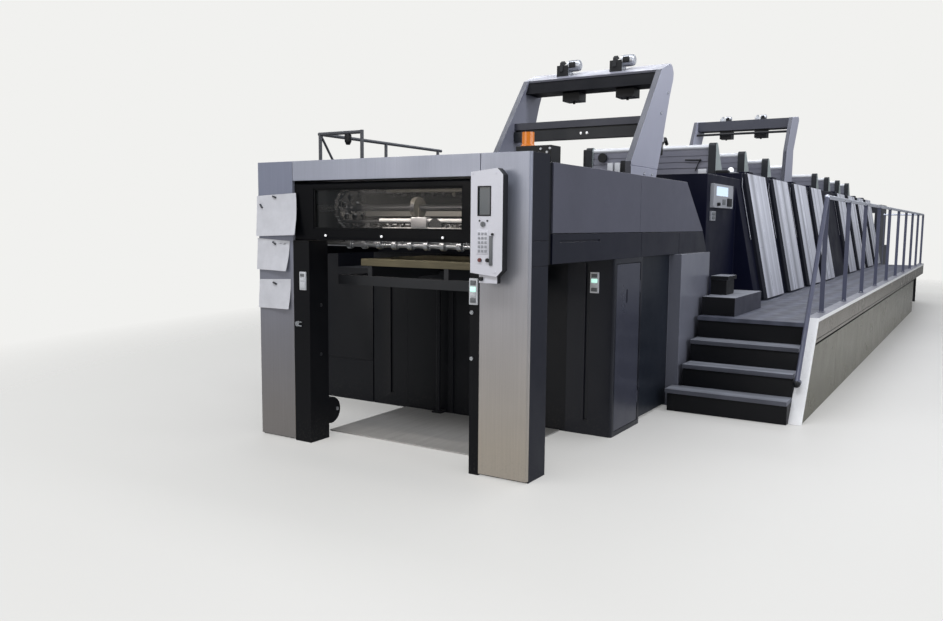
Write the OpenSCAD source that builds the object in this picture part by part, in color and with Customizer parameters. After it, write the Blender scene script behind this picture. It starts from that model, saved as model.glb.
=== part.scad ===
// Sheetfed offset printing press with delivery, coating unit, eight printing units, feeder and galleries.
// Frame: X across the press (operator side +X), Y along it from the delivery to the feeder, Z up.
// Inside the modules Y is counted from the front face of the delivery, and placed() centres the press.

/* [Delivery portal] */
// Width over the delivery portal
portal_w = 2464; // [2300:2:2700]
// Height of the delivery portal
portal_h = 2200; // [2120:5:2300]
// Depth of the portal columns
portal_d = 270; // [240:5:290]
// Width of the grey column faces
column_w = 378; // [340:1:400]
// Thickness of the grey front sheets
face_t = 30; // [20:1:36]
// Height of the lintel
lintel_h = 150; // [130:5:160]
// Shadow gap under the grey front sheets
toe_gap = 14; // [8:1:30]
// Seam between the front sheets
seam = 4; // [3:0.5:6]
// Width of the black post inside the left column
left_post_w = 165; // [140:1:180]
// Depth of the black post inside the left column
left_post_d = 215; // [160:5:230]
// Radius of the rounded cover low behind the left post
lobe_r = 107; // [90:1:115]
// Width of the black strip inside the right column
right_post_w = 78; // [60:1:100]

/* [Window guard] */
// Lower edge of the window guard above the floor
guard_z0 = 1600; // [1580:5:1630]
// Thickness of the window guard
guard_t = 44; // [36:2:48]
// Side clearance of the window guard
guard_gap = 8; // [6:1:12]
// Distance from the lintel down to the hinge axis
guard_drop = 40; // [34:1:50]
// Radius of the hinge pins
hinge_pin_r = 8; // [6:1:10]
// Running clearance of pins and rods in their bores
run_fit = 0.4; // [0.3:0.1:0.8]
// Width of the frame on the operator side of the glass
guard_side = 146; // [120:2:190]
// Width of the frame on the drive side of the glass
guard_drive_side = 190; // [120:2:220]
// Height of the frame below the glass
guard_sill = 82; // [70:2:95]
// Thickness of the glass
glass_t = 8; // [6:1:10]

/* [Pile] */
// Length of the pile bay behind the portal front
pile_bay = 1460; // [1400:10:1560]
// Gap between the raised pile board and the brake wheels
board_clearance = 76; // [60:2:90]
// Height of the carrier bars
carrier_h = 75; // [60:5:90]
// Height of the bearers that carry the pile board
bearer_h = 80; // [60:5:90]
// Half the length of the carrier bars
carrier_half = 680; // [640:5:682]
// Thickness of the pile board
board_t = 55; // [30:1:60]
// Where the pile board ends on the drive side, from the middle
board_left = 450; // [400:5:600]
// Where the pile board ends on the operator side, from the middle
board_right = 650; // [500:5:690]
// Thickness of the floor plate
plate_t = 12; // [6:1:20]
// Radius of the guide rods
rod_r = 20; // [16:1:24]
// Distance of the guide rods from the middle
rod_x = 430; // [380:5:500]
// Thickness of the brackets that hold the guide rods
bracket_t = 16; // [10:1:20]

/* [Gripper chains] */
// Distance between two rollers of a chain
chain_pitch = 60; // [56:1:64]
// Number of teeth on a chain wheel
teeth = 16; // [14:2:18]
// Radius of the chain rollers
roller_r = 15; // [12:1:17]
// Width of a chain wheel
wheel_t = 26; // [20:1:30]
// Thickness of a link plate
link_t = 7; // [5:1:9]
// Distance from the middle to the chain wheels
wheel_x = 720; // [690:5:730]
// Distance of the chain wheels' shaft behind the portal front
shaft_y = 520; // [505:5:600]
// How far the chain wheels' shaft lies under the roof
shaft_drop = 300; // [280:5:320]
// How far the brake shaft lies under the chain wheels' shaft
brake_drop = 290; // [270:5:300]
// Number of grippers on one bar
gripper_n = 13; // [9:2:17]

/* [Delivery housing] */
// Height of the flank sheets
flank_h = 2150; // [2100:5:2180]
// Height of the side cabinets
cabinet_h = 1460; // [1430:5:1480]
// Top of the dark band above the cabinets
band_h = 1667; // [1640:1:1700]
// Thickness of the flank sheets
flank_t = 30; // [20:2:40]
// Thickness of the hood's walls and roof
hood_t = 40; // [30:2:50]
// Width of a side cabinet
cabinet_w = 415; // [400:5:440]
// Length of a side cabinet
cabinet_l = 620; // [580:5:680]
// Width of the closed box beside the drive side cabinet
side_box_w = 668; // [600:2:700]
// Height of the closed box beside the drive side cabinet
side_box_h = 1300; // [1260:5:1340]
// Width of the taller end of that box
side_end_w = 236; // [200:2:260]
// Height of the taller end of that box
side_end_h = 1600; // [1500:10:1700]
// Where the flanks start behind the portal front
flank_y = 330; // [300:5:340]
// Where the top of the flanks ends
flank_top_y = 3230; // [3100:10:3300]
// Where the upper sheets end at their lower edge
flank_low_y = 3810; // [3700:10:3850]
// Where the recessed side covers end and the rear cabinets begin
rear_cabinet_y = 2930; // [2850:10:2990]
// Length of the rear cabinets
rear_cabinet_l = 920; // [850:10:960]
// How far the rear cabinets stand out of the flank
rear_cabinet_out = 68; // [40:2:72]

// Width of the seams between the flank sheets
sheet_seam = 5; // [3:1:8]
// Depth of the seams between the flank sheets
seam_depth = 8; // [5:1:10]
// Radius of the cabinets' front corners
corner_r = 24; // [12:2:40]
// Height of the rail on the roof
roof_rail_h = 325; // [300:5:360]
// Radius of the rail on the roof
roof_rail_r = 15; // [12:1:20]

/* [Control panel] */
// Where the control panel starts, from the middle
panel_x = 856; // [852:1:880]
// Width of the control panel
panel_w = 242; // [220:2:260]
// Lower edge of the control panel above the floor
panel_z = 1390; // [1370:5:1420]
// Height of the control panel
panel_h = 700; // [660:5:720]
// Thickness of the control panel
panel_t = 66; // [50:2:80]
// How far the control panel stands in front of the portal
panel_out = 125; // [110:1:140]
// Size of the chamfer on the control panel's outer corners
panel_cut = 42; // [30:1:60]

/* [Cabinet door] */
// Thickness of the cabinet door
door_t = 20; // [16:1:24]
// Clearance round and behind the door
door_gap = 6; // [5:0.5:8]
// Margin of the cabinet round the door
door_margin = 40; // [34:2:50]
// Radius of the hinge knuckles
knuckle_r = 8; // [7:0.5:9]
// Radius of the hinge pin
door_pin_r = 4; // [3:0.5:5]
// Width of the recessed grip in the door
grip_w = 26; // [20:1:32]
// Height of the recessed grip between its round ends
grip_h = 90; // [60:5:120]
// Depth of the recessed grip
grip_depth = 10; // [6:1:14]

/* [Units] */
// Half the width of the units
unit_half = 1190; // [1150:5:1195]
// Height of the coating unit
coater_h = 2280; // [2200:10:2350]
// Height of the printing units
unit_h = 2360; // [2300:10:2420]
// Where the coating unit starts
coater_y = 4050; // [4000:10:4100]
// Length of the coating unit
coater_l = 1370; // [1300:10:1450]
// Length of one printing unit
unit_pitch = 1380; // [1300:10:1450]
// Length of the perfecting unit
perfecting_l = 1317; // [1200:1:1400]
// Length of a silver cover
cover_l = 1045; // [950:5:1080]
// Where a cover starts behind the front of its unit
cover_start = 110; // [80:5:160]
// How far a cover's foot stands out of the unit
cover_out = 330; // [280:5:380]
// How far a cover's top stands out of the unit
cover_top = 28; // [20:2:40]
// Distance from the middle to the inner face of the tower fins
fin_x = 765; // [740:5:780]
// Thickness of the tower fins
fin_t = 95; // [80:5:100]
// Height of the tower fins above the unit
fin_h = 380; // [350:10:420]
// Radius of the tower fins' round heads
fin_r = 45; // [35:5:60]
// Length of a fin's foot along the unit
fin_l = 350; // [300:10:400]
// Seam between a cover's ends and the dark wedges beside it
cover_seam = 0.5; // [0.4:0.1:0.8]
// How far the dark wedges lie behind the covers' faces
wedge_gap = 60; // [45:5:70]
// Height of the joint line across a cover
cover_joint_z = 1470; // [1400:10:1600]
// Bevel along the upright edges of a cover
cover_bevel = 60; // [30:2:80]

/* [Gallery] */
// Height of the gallery floor
gallery_h = 840; // [800:5:880]
// Thickness of the gallery floor
gallery_t = 40; // [30:5:60]
// Outer face of the gallery from the middle
gallery_x = 2458; // [2300:2:2600]
// Width of the kerb
kerb_w = 113; // [90:1:130]
// Height of the kerb above the gallery floor
kerb_h = 50; // [30:5:70]
// Where the gallery ends
gallery_end = 17300; // [17000:50:17700]
// Height of the handrail above the kerb
rail_h = 1130; // [1050:10:1200]
// Radius of the handrail
rail_r = 21; // [17:1:25]
// Number of railing posts
post_n = 10; // [8:1:12]
// Where the first railing post stands
post_y = 4000; // [3900:10:4150]
// Where the stair starts
stair_y = 2700; // [2650:10:2750]
// Going of one step
going = 220; // [200:5:240]
// Number of rises up to the gallery
rises = 4; // [3:1:5]
// How far a tread's nosing stands over its riser
nosing = 25; // [15:1:35]
// Half the width of the gap that divides the skirt
groove_half = 8; // [5:1:12]
// Height of the gap that divides the skirt
groove_z = 650; // [620:5:690]
// Where the lower skirt ends
end_bay_y = 14600; // [14200:50:15000]
// Clear gap between the stair and the machine
stair_gap = 40; // [20:5:50]

/* [Hoist arches] */
// Thickness of the arch legs
leg_t = 60; // [50:5:80]
// Distance from the middle to the inner face of the front arch's legs
arch_x = 740; // [700:5:760]
// Height of the front arch
arch_h = 3420; // [3300:10:3500]
// How far the front beam's underside lies under the arch's top
beam_drop = 250; // [230:5:280]
// How far the two lower bars of the front arch lie under its top
bars_drop = 598; // [560:2:640]
// Height of the rear arch
rear_arch_h = 3600; // [3500:10:3700]
// Radius of the hoist motors
motor_r = 58; // [46:2:62]
// Length of the hoist motors
motor_l = 130; // [100:5:160]

/* [Feeder] */
// Length of the feeder
feeder_l = 2820; // [2600:10:3000]
// Half the width of the feeder
feeder_half = 1400; // [1250:10:1450]
// Height of the feeder's side frames
feeder_h = 1250; // [1150:10:1350]
// Height over the feeder head
head_h = 2300; // [2200:10:2400]

/* [Hidden] */
$fn = 48;

portal_half = portal_w / 2;
opening_half = portal_half - column_w;
lintel_z = portal_h - lintel_h;
post_h = guard_z0 - 8;
side_joint_z = 1450;
guard_axis_y = face_t + hinge_pin_r + 4;
guard_axis_z = lintel_z - guard_drop;
guard_half = opening_half - guard_gap;
glass_x = [guard_drive_side - guard_half, guard_half - guard_side];
glass_z0 = guard_z0 + guard_sill;
glass_z1 = guard_axis_z - guard_t / 2;
flank_in = portal_half - flank_t;
hood_in = flank_in - hood_t;
shaft_z = flank_h - shaft_drop;
brake_y = shaft_y - 130;
brake_z = shaft_z - brake_drop;
brake_wheel_r = 34;
carrier_z = brake_z - brake_wheel_r - board_clearance - board_t - bearer_h - carrier_h;
bearer_z0 = carrier_z + carrier_h;
carrier_y0 = portal_d + 60;
rod_y = pile_bay - 60;
cabinet_in = portal_half - cabinet_w;
cabinet_y1 = pile_bay + cabinet_l;
groove_z0 = 120;
side_seam_z = 400;
door_y0 = pile_bay + door_margin;
door_y1 = cabinet_y1 - door_margin;
door_z0 = door_margin;
door_z1 = cabinet_h - door_margin;
door_in = portal_half - door_t;
pin_x = portal_half - 4;
pin_y = door_y1 - knuckle_r - 4;
knuckle_l = 100;
knuckles = [door_z0 + 160, door_z1 - 160 - knuckle_l];
grip_y = door_y0 + 230;
grip_z = door_z1 - 275;
body_half = portal_half - 82;
rear_cabinet_x = portal_half + rear_cabinet_out;
beacon_box_h = 130;
roof_rail_x = -1120;
roof_rail_end_x = -667;
roof_rail_y0 = 620;
roof_rail_y1 = 2450;
units_y = coater_y + coater_l;
front_wedge_l = 220;
perfecting_y = units_y + 4 * unit_pitch;
feeder_y = perfecting_y + perfecting_l + 4 * unit_pitch;
press_end = feeder_y + feeder_l;
table_y1 = feeder_y + 1100;
head_y0 = table_y1 + 300;
head_z0 = head_h - 200;
feeder_r = 300;
bar_y = flank_top_y + 70;
rear_leg_y = perfecting_y - unit_pitch;
rear_arch_x = fin_x + 5;
fin_front = 70;
stack_h = fin_h - 80;
panel_front = -panel_out;
middle_y = (press_end + panel_front) / 2;
kerb_in = gallery_x - kerb_w;
kerb_z = gallery_h + kerb_h;
kerb_foot_y = stair_y + 80;
kerb_top_y = kerb_foot_y + 620;
kerb_t = 40;
cover_z0 = gallery_h + 25;
cover_lean = (cover_out - cover_top) / (unit_h - cover_z0);
wedge_z = unit_h - (wedge_gap - cover_top) / cover_lean;
rise = gallery_h / rises;
stair_in = rear_cabinet_x + stair_gap;
stair_top_y = stair_y + (rises - 1) * going;
upper_rise = 185;
post_pitch = (gallery_end - 50 - post_y) / (post_n - 1);
rail_x = kerb_in + 38;
rail_z = kerb_z + rail_h;
foot_y = kerb_foot_y + 120;
foot_z = 340;
end_rail_x = unit_half + cover_out + 60;

// Face of a slanted cover at a height
function cover_x(z) = unit_half + cover_top + (unit_h - z) * cover_lean;

function unit_y(i) = units_y + i * unit_pitch + (i > 3 ? perfecting_l : 0);

// Moves the press so that its middle stands over the origin
module placed() {
    translate([0, -middle_y, 0]) children();
}

// A box between two corners given as ranges
module block(x, y, z) {
    translate([x[0], y[0], z[0]]) cube([x[1] - x[0], y[1] - y[0], z[1] - z[0]]);
}

// An outline in Y and Z, drawn out along X
module side_shape(points, x) {
    translate([x[0], 0, 0]) rotate([90, 0, 90]) linear_extrude(x[1] - x[0]) polygon(points);
}

// An outline in X and Z, drawn out along Y
module front_shape(points, y) {
    translate([0, y[1], 0]) rotate([90, 0, 0]) linear_extrude(y[1] - y[0]) polygon(points);
}

// A round bar along X
module bar_x(x, y, z, r) {
    translate([x[0], y, z]) rotate([0, 90, 0]) cylinder(h = x[1] - x[0], r = r);
}

// The same piece on both sides
module both_sides() {
    children();
    mirror([1, 0, 0]) children();
}

module delivery_frame() {
    color("#23262c") placed() {
        difference() {
            both_sides() block([opening_half, portal_half], [face_t, portal_d], [0, portal_h]);
            for (z = [side_joint_z, side_joint_z + 170])
                both_sides() block([portal_half - seam_depth, portal_half + 1],
                                   [face_t + 20, portal_d + 1], [z, z + sheet_seam]);
        }
        block([-opening_half, opening_half], [face_t, portal_d], [lintel_z, portal_h]);
        block([-opening_half, left_post_w - opening_half], [2, left_post_d], [0, post_h]);
        block([opening_half - right_post_w, opening_half], [2, portal_d], [0, post_h]);
        bar_x([left_post_w - opening_half - 110, left_post_w - opening_half],
              left_post_d + 28, 2 * lobe_r + 6, lobe_r);
        both_sides()
            bar_x([opening_half - guard_gap - 20, opening_half + 1], guard_axis_y, guard_axis_z, hinge_pin_r);
    }
}

// Front sheets: each column's outer edge is bevelled
module column_sheet() {
    translate([0, 0, toe_gap]) linear_extrude(portal_h - toe_gap)
        polygon([[opening_half, 0], [portal_half - 10, 0], [portal_half, 10], [portal_half, face_t],
                 [opening_half, face_t]]);
}

module front_panels() {
    color("#8d9196") placed() {
        both_sides() column_sheet();
        block([seam - opening_half, opening_half - seam], [0, face_t], [lintel_z, portal_h]);
    }
}

// Window guard: a frame round the glass, with a rounded upper edge that turns on the hinge pins
module window_guard() {
    color("#1c1e22") placed() difference() {
        union() {
            block([-guard_half, guard_half], [guard_axis_y - guard_t / 2, guard_axis_y + guard_t / 2],
                  [guard_z0, guard_axis_z]);
            bar_x([-guard_half, guard_half], guard_axis_y, guard_axis_z, guard_t / 2);
            for (x = [-525, 10, 545])
                translate([x, guard_axis_y - guard_t / 2 + 1, guard_z0 + 34]) rotate([90, 0, 0])
                    cylinder(h = 9, r = 13);
        }
        block(glass_x, [guard_axis_y - guard_t, guard_axis_y + guard_t], [glass_z0, glass_z1]);
        both_sides()
            bar_x([guard_half - 22, guard_half + 1], guard_axis_y, guard_axis_z, hinge_pin_r + run_fit);
    }
}

module guard_glass() {
    color("#9fb4bd") placed()
        block(glass_x, [guard_axis_y - glass_t / 2, guard_axis_y + glass_t / 2], [glass_z0, glass_z1]);
}

// Gripper chain drive: toothed wheels on one shaft, a roller chain over each, and the bars of grippers
// that the two chains carry. A roller's place counts along the chain: back on the upper run, round the wheel,
// and back on the lower run.
wheel_r = chain_pitch / (2 * sin(180 / teeth));
arc_n = teeth / 2;
run_n = floor((pile_bay - shaft_y) / chain_pitch);
function roller_at(k) =
    k < 0 ? [shaft_y - k * chain_pitch, shaft_z + wheel_r]
    : k > arc_n ? [shaft_y + (k - arc_n) * chain_pitch, shaft_z - wheel_r]
    : [shaft_y - wheel_r * sin(k * 180 / arc_n), shaft_z + wheel_r * cos(k * 180 / arc_n)];

// One link plate between two rollers
module link_plate(k) {
    a = roller_at(k);
    b = roller_at(k + 1);
    for (p = [a, b]) translate(p) circle(r = roller_r);
    translate(a) rotate(atan2(b[1] - a[1], b[0] - a[0])) translate([0, -roller_r * 0.66])
        square([chain_pitch, roller_r * 1.32]);
}

// Draws out a Y and Z drawing along X
module along_x(x) {
    translate([x[0], 0, 0]) rotate([90, 0, 90]) linear_extrude(x[1] - x[0]) children();
}

module gripper_chain() {
    inner = wheel_t / 2 + 2;
    for (side = [-1, 1]) {
        for (k = [-run_n : arc_n + run_n - 1]) {
            odd = abs(k) % 2;
            x = wheel_x + side * (inner + (odd + 0.5) * link_t);
            along_x([x - link_t / 2, x + link_t / 2]) link_plate(k);
        }
        for (z = [shaft_z - wheel_r, shaft_z + wheel_r]) {
            x = wheel_x + side * (inner + link_t / 2);
            block([x - link_t / 2, x + link_t / 2], [shaft_y + run_n * chain_pitch - 2, pile_bay],
                  [z - roller_r * 0.66, z + roller_r * 0.66]);
        }
    }
    for (k = [-run_n : arc_n + run_n]) {
        at = roller_at(k);
        bar_x([wheel_x - inner - 2 * link_t - 3, wheel_x + inner + 2 * link_t + 3], at[0], at[1],
            roller_r * 0.55);
        bar_x([wheel_x - inner - 1, wheel_x + inner + 1], at[0], at[1], roller_r - run_fit);
    }
}

module chain_wheel() {
    along_x([wheel_x - wheel_t / 2, wheel_x + wheel_t / 2]) translate([shaft_y, shaft_z]) difference() {
        circle(r = wheel_r + 8);
        for (k = [0 : teeth - 1]) rotate(k * 360 / teeth) translate([0, wheel_r]) circle(r = roller_r);
        for (k = [0 : 4]) rotate(k * 72) translate([0, wheel_r * 0.55]) circle(r = wheel_r * 0.2);
    }
    bar_x([wheel_x - 45, wheel_x + 45], shaft_y, shaft_z, 48);
}

// Gripper fingers stand on a tube that runs from chain to chain
module gripper_bar(k) {
    y = roller_at(k)[0];
    z = roller_at(k)[1];
    reach = wheel_x - wheel_t / 2 - 10;
    bar_x([-reach, reach], y, z, roller_r);
    for (i = [0 : gripper_n - 1]) {
        x = (i - (gripper_n - 1) / 2) * 2 * (reach - 70) / (gripper_n - 1);
        side_shape([[y - 16, z - 12], [y + 16, z - 12], [y + 22, z - 34], [y - 4, z - 52], [y - 26, z - 40]],
                   [x - 13, x + 13]);
    }
}

module chain_shaft() {
    color("#b9bcc0") placed() {
        bar_x([-hood_in, hood_in], shaft_y, shaft_z, 25);
        both_sides() {
            chain_wheel();
            gripper_chain();
        }
        for (k = [floor(arc_n * 0.75), -8, arc_n + 8]) gripper_bar(k);
        bar_x([-50, -10], shaft_y, shaft_z, 85);
        for (x = [[-64, -52], [-8, 4]])
            side_shape([[shaft_y - 40, shaft_z - 90], [shaft_y + 40, shaft_z - 90],
                        [shaft_y + 30, shaft_z + 10], [shaft_y - 30, shaft_z + 10]], x);
    }
}

// Brake wheels that slow the sheets, on a shaft held by arms from the cross beam
module sheet_brake() {
    color("#8b8f94") placed() {
        bar_x([-hood_in, hood_in], brake_y, brake_z, 14);
        for (i = [-4:4]) {
            bar_x([i * 150 - 18, i * 150 + 18], brake_y, brake_z, brake_wheel_r);
            side_shape([[brake_y - 10, brake_z - 20], [brake_y + 60, brake_z - 20],
                        [brake_y + 60, brake_z + 20], [brake_y - 10, brake_z + 20]],
                       [i * 150 + 22, i * 150 + 34]);
        }
        block([-hood_in, hood_in], [brake_y + 50, brake_y + 110], [brake_z - 20, brake_z + 40]);
    }
}

// Pile carrier: two cross bars, two side arms, the bearers under the board and the shoes on the guide rods
module pile_carrier() {
    color("#6f7377") placed() difference() {
        union() {
            for (y = [carrier_y0, rod_y - 130])
                block([-carrier_half, carrier_half], [y, y + 60], [carrier_z, bearer_z0]);
            both_sides() {
                block([carrier_half - 120, carrier_half - 50], [carrier_y0, rod_y - 80],
                    [carrier_z, bearer_z0]);
                block([rod_x - 45, rod_x + 45], [rod_y - 80, rod_y + 40], [carrier_z, bearer_z0]);
                block([rod_x - 90, rod_x - 50], [carrier_y0 + 4, rod_y - 80],
                    [bearer_z0 - 30, bearer_z0 + bearer_h]);
            }
        }
        for (s = [-1, 1])
            translate([s * rod_x, rod_y, carrier_z - 1]) cylinder(h = carrier_h + 2, r = rod_r + run_fit);
    }
}

module pile_board() {
    color("#b79a6c") placed()
        block([-board_left, board_right], [carrier_y0 + 4, rod_y - 90],
              [bearer_z0 + bearer_h, bearer_z0 + bearer_h + board_t]);
}

module pile_floor_plate() {
    color("#5d6064") placed()
        block([24 - opening_half, opening_half - right_post_w], [left_post_d + lobe_r + 60, pile_bay - 20],
              [0, plate_t]);
}

// Rear wall with two upright ribs and the guide rods in their brackets
module pile_rear_wall() {
    color("#1f2126") placed() {
        block([-cabinet_in, cabinet_in], [pile_bay, pile_bay + 40], [0, cabinet_h]);
        for (s = [-1, 1]) {
            translate([s * rod_x, rod_y, plate_t]) cylinder(h = cabinet_h - plate_t - 2, r = rod_r);
            for (z = [plate_t, cabinet_h - 40])
                block([s * rod_x - 50, s * rod_x + 50], [rod_y - 35, pile_bay + 2], [z, z + bracket_t]);
            block([s * rod_x + 80, s * rod_x + 130], [pile_bay - 18, pile_bay + 2], [plate_t, cabinet_h]);
        }
    }
}

module delivery_hood() {
    color("#2b2e34") placed() {
        block([-flank_in, flank_in], [portal_d, flank_top_y], [flank_h - hood_t, flank_h]);
        both_sides() block([hood_in, flank_in], [portal_d, pile_bay], [cabinet_h, flank_h - hood_t]);
        both_sides() block([flank_in - 2, portal_half - 12], [portal_d, flank_y], [cabinet_h, flank_h]);
    }
}

module delivery_body() {
    color("#2b2e34") placed() {
        side_shape([[pile_bay, cabinet_h], [coater_y, cabinet_h], [flank_low_y + 40, cabinet_h + 60],
                    [flank_low_y, band_h], [flank_top_y, flank_h - hood_t], [pile_bay, flank_h - hood_t]],
                   [-flank_in, flank_in]);
        block([-body_half, body_half], [cabinet_y1, coater_y], [0, cabinet_h + 10]);
        block([-cabinet_in, cabinet_in], [pile_bay + 40, cabinet_y1 + 10], [0, cabinet_h + 10]);
    }
}

// A closed cabinet with a rounded front corner and an upright groove in its front
module cabinet_shell() {
    difference() {
        block([cabinet_in, portal_half], [pile_bay, cabinet_y1], [0, cabinet_h]);
        difference() {
            block([portal_half - corner_r, portal_half + 1], [pile_bay - 1, pile_bay + corner_r],
                [-1, cabinet_h + 1]);
            translate([portal_half - corner_r, pile_bay + corner_r, -2])
                cylinder(h = cabinet_h + 4, r = corner_r);
        }
        block([portal_half - 252, portal_half - 212], [pile_bay - 1, pile_bay + 16],
            [groove_z0, cabinet_h - 40]);
    }
}

// Side cabinets, the operator side one with a recess for its door and the hinge pin on the door's rear edge
module side_cabinets() {
    color("#2e3238") placed() {
        mirror([1, 0, 0]) cabinet_shell();
        difference() {
            union() {
                block([-portal_half - side_box_w, -portal_half], [pile_bay, cabinet_y1], [0, side_box_h]);
                block([-portal_half - side_box_w, -portal_half - side_box_w + side_end_w],
                      [pile_bay, cabinet_y1], [0, side_end_h]);
            }
            block([-portal_half - side_box_w - 1, -portal_half], [pile_bay - 1, pile_bay + seam_depth],
                  [side_seam_z, side_seam_z + sheet_seam]);
        }
        difference() {
            cabinet_shell();
            block([door_in - door_gap, portal_half + 1], [door_y0, door_y1], [door_z0, door_z1]);
        }
        translate([pin_x, pin_y, door_z0]) cylinder(h = door_z1 - door_z0, r = door_pin_r);
    }
}

// Cabinet door with its hinge knuckles and a recessed grip
module cabinet_door() {
    color("#3a3e46") placed() difference() {
        union() {
            block([door_in, portal_half], [door_y0 + door_gap, pin_y - knuckle_r - 2],
                  [door_z0 + door_gap, door_z1 - door_gap]);
            for (z = knuckles) {
                translate([pin_x, pin_y, z]) cylinder(h = knuckle_l, r = knuckle_r);
                block([pin_x - knuckle_r, pin_x], [pin_y - knuckle_r - 2, pin_y], [z, z + knuckle_l]);
            }
        }
        for (z = knuckles)
            translate([pin_x, pin_y, z - 1]) cylinder(h = knuckle_l + 2, r = door_pin_r + run_fit);
        block([portal_half - grip_depth, portal_half + 1], [grip_y - grip_w / 2, grip_y + grip_w / 2],
              [grip_z - grip_h / 2, grip_z + grip_h / 2]);
        for (z = [grip_z - grip_h / 2, grip_z + grip_h / 2])
            bar_x([portal_half - grip_depth, portal_half + 1], grip_y, z, grip_w / 2);
    }
}

module lower_side_covers() {
    color("#25282d") placed() both_sides() {
        block([body_half, body_half + 30], [cabinet_y1, rear_cabinet_y], [20, cabinet_h]);
        block([body_half, rear_cabinet_x], [rear_cabinet_y, rear_cabinet_y + rear_cabinet_l], [0, cabinet_h]);
    }
}

// Sheets along the flank, parted by upright seams
module flank_sheet(points, seams) {
    difference() {
        side_shape(points, [flank_in, portal_half]);
        for (y = seams)
            block([portal_half - seam_depth, portal_half + 1], [y, y + sheet_seam],
                [cabinet_h - 1, flank_h + 1]);
    }
}

module side_bands() {
    color("#2c2f36") placed() both_sides() difference() {
        flank_sheet([[flank_y, cabinet_h], [flank_low_y + 150, cabinet_h], [flank_low_y, band_h],
                     [flank_y, band_h]], [cabinet_y1 - 50, rear_cabinet_y + 110]);
        block([portal_half - seam_depth, portal_half + 1], [flank_y + 115, pile_bay - 320],
              [band_h - 58, band_h - 46]);
    }
}

module upper_side_panels() {
    color("#5a5d66") placed() both_sides()
        flank_sheet([[flank_y, band_h + sheet_seam], [flank_low_y, band_h + sheet_seam],
                     [flank_top_y, flank_h], [flank_y, flank_h]], [cabinet_y1 - 90]);
}

// Control panel: a slim box with chamfered outer corners, a recessed screen, knobs and its bracket
module control_panel() {
    panel_x1 = panel_x + panel_w;
    panel_z1 = panel_z + panel_h;
    color("#e6e7e8") placed() {
        difference() {
            front_shape([[panel_x, panel_z + 20], [panel_x1 - panel_cut, panel_z],
                         [panel_x1, panel_z + panel_cut], [panel_x1, panel_z1 - panel_cut],
                         [panel_x1 - panel_cut, panel_z1], [panel_x, panel_z1 - 20]],
                        [panel_front, panel_front + panel_t]);
            block([panel_x + 58, panel_x + 150], [panel_front - 1, panel_front + 5],
                  [panel_z + 398, panel_z + 582]);
        }
        block([panel_x + 64, panel_x + 204], [panel_front + panel_t, 0], [panel_z + 170, panel_z + 510]);
        block([panel_x + 60, panel_x + 198], [panel_front + 15, panel_front + panel_t - 6],
            [panel_z - 45, panel_z + 30]);
        for (p = [[170, 275, 8], [75, 106, 13], [134, 106, 13]])
            translate([panel_x + p[0], panel_front + 1, panel_z + p[1]]) rotate([90, 0, 0])
                cylinder(h = 13, r = p[2]);
    }
}

module beacon_box() {
    color("#1b1c1f") placed()
        block([portal_half - 362, portal_half - 82], [450, 600], [flank_h, flank_h + beacon_box_h]);
}

module warning_beacon() {
    color("#d98324") placed() translate([portal_half - 302, 520, flank_h + beacon_box_h]) {
        cylinder(h = 12, r = 50);
        cylinder(h = 105, r = 44);
    }
}

// Rail on the roof: posts, a long bar, an end bar and a diagonal brace
module roof_rail() {
    color("#4a4d52") placed() {
        for (y = [roof_rail_y0, roof_rail_y0 + 905, roof_rail_y1 - 60])
            translate([roof_rail_x, y, flank_h]) cylinder(h = roof_rail_h, r = roof_rail_r);
        translate([roof_rail_x, roof_rail_y0, flank_h + roof_rail_h]) rotate([-90, 0, 0])
            cylinder(h = roof_rail_y1 - roof_rail_y0, r = roof_rail_r);
        bar_x([roof_rail_x - roof_rail_r, roof_rail_end_x], roof_rail_y0, flank_h + roof_rail_h, roof_rail_r);
        translate([roof_rail_end_x, roof_rail_y0, flank_h])
            cylinder(h = roof_rail_h + roof_rail_r, r = roof_rail_r);
        translate([roof_rail_x, roof_rail_y0 + 240, flank_h + 8]) rotate([atan2(240, roof_rail_h - 8), 0, 0])
            cylinder(h = sqrt(240 * 240 + (roof_rail_h - 8) * (roof_rail_h - 8)), r = roof_rail_r * 0.7);
    }
}

// Front hoist arch: leaning legs with a kink and a joint at the foot and a rounded head
module front_leg() {
    difference() {
        side_shape([[flank_top_y - 380, flank_h], [flank_top_y, flank_h], [flank_top_y + 270, flank_h - 225],
                    [flank_top_y + 330, flank_h + 80], [flank_top_y + 450, flank_h + 350],
                    [flank_top_y + 670, arch_h - 350], [flank_top_y + 770, arch_h - 150],
                    [flank_top_y + 775, arch_h - 80], [flank_top_y + 730, arch_h - 20],
                    [flank_top_y + 670, arch_h], [flank_top_y + 400, arch_h - 100],
                    [flank_top_y - 380, flank_h + 190]], [arch_x, arch_x + leg_t]);
        block([arch_x + leg_t - seam_depth, arch_x + leg_t + 1], [flank_top_y - 400, flank_top_y + 500],
              [flank_h + 150, flank_h + 150 + sheet_seam]);
    }
}

module hoist_arch_front() {
    color("#b4b7bd") placed() {
        both_sides() front_leg();
        side_shape([[flank_top_y + 400, arch_h - 100], [flank_top_y + 670, arch_h],
                    [flank_top_y + 690, arch_h - 16], [flank_top_y + 410, arch_h - 122]], [-arch_x, arch_x]);
    }
}

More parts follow.
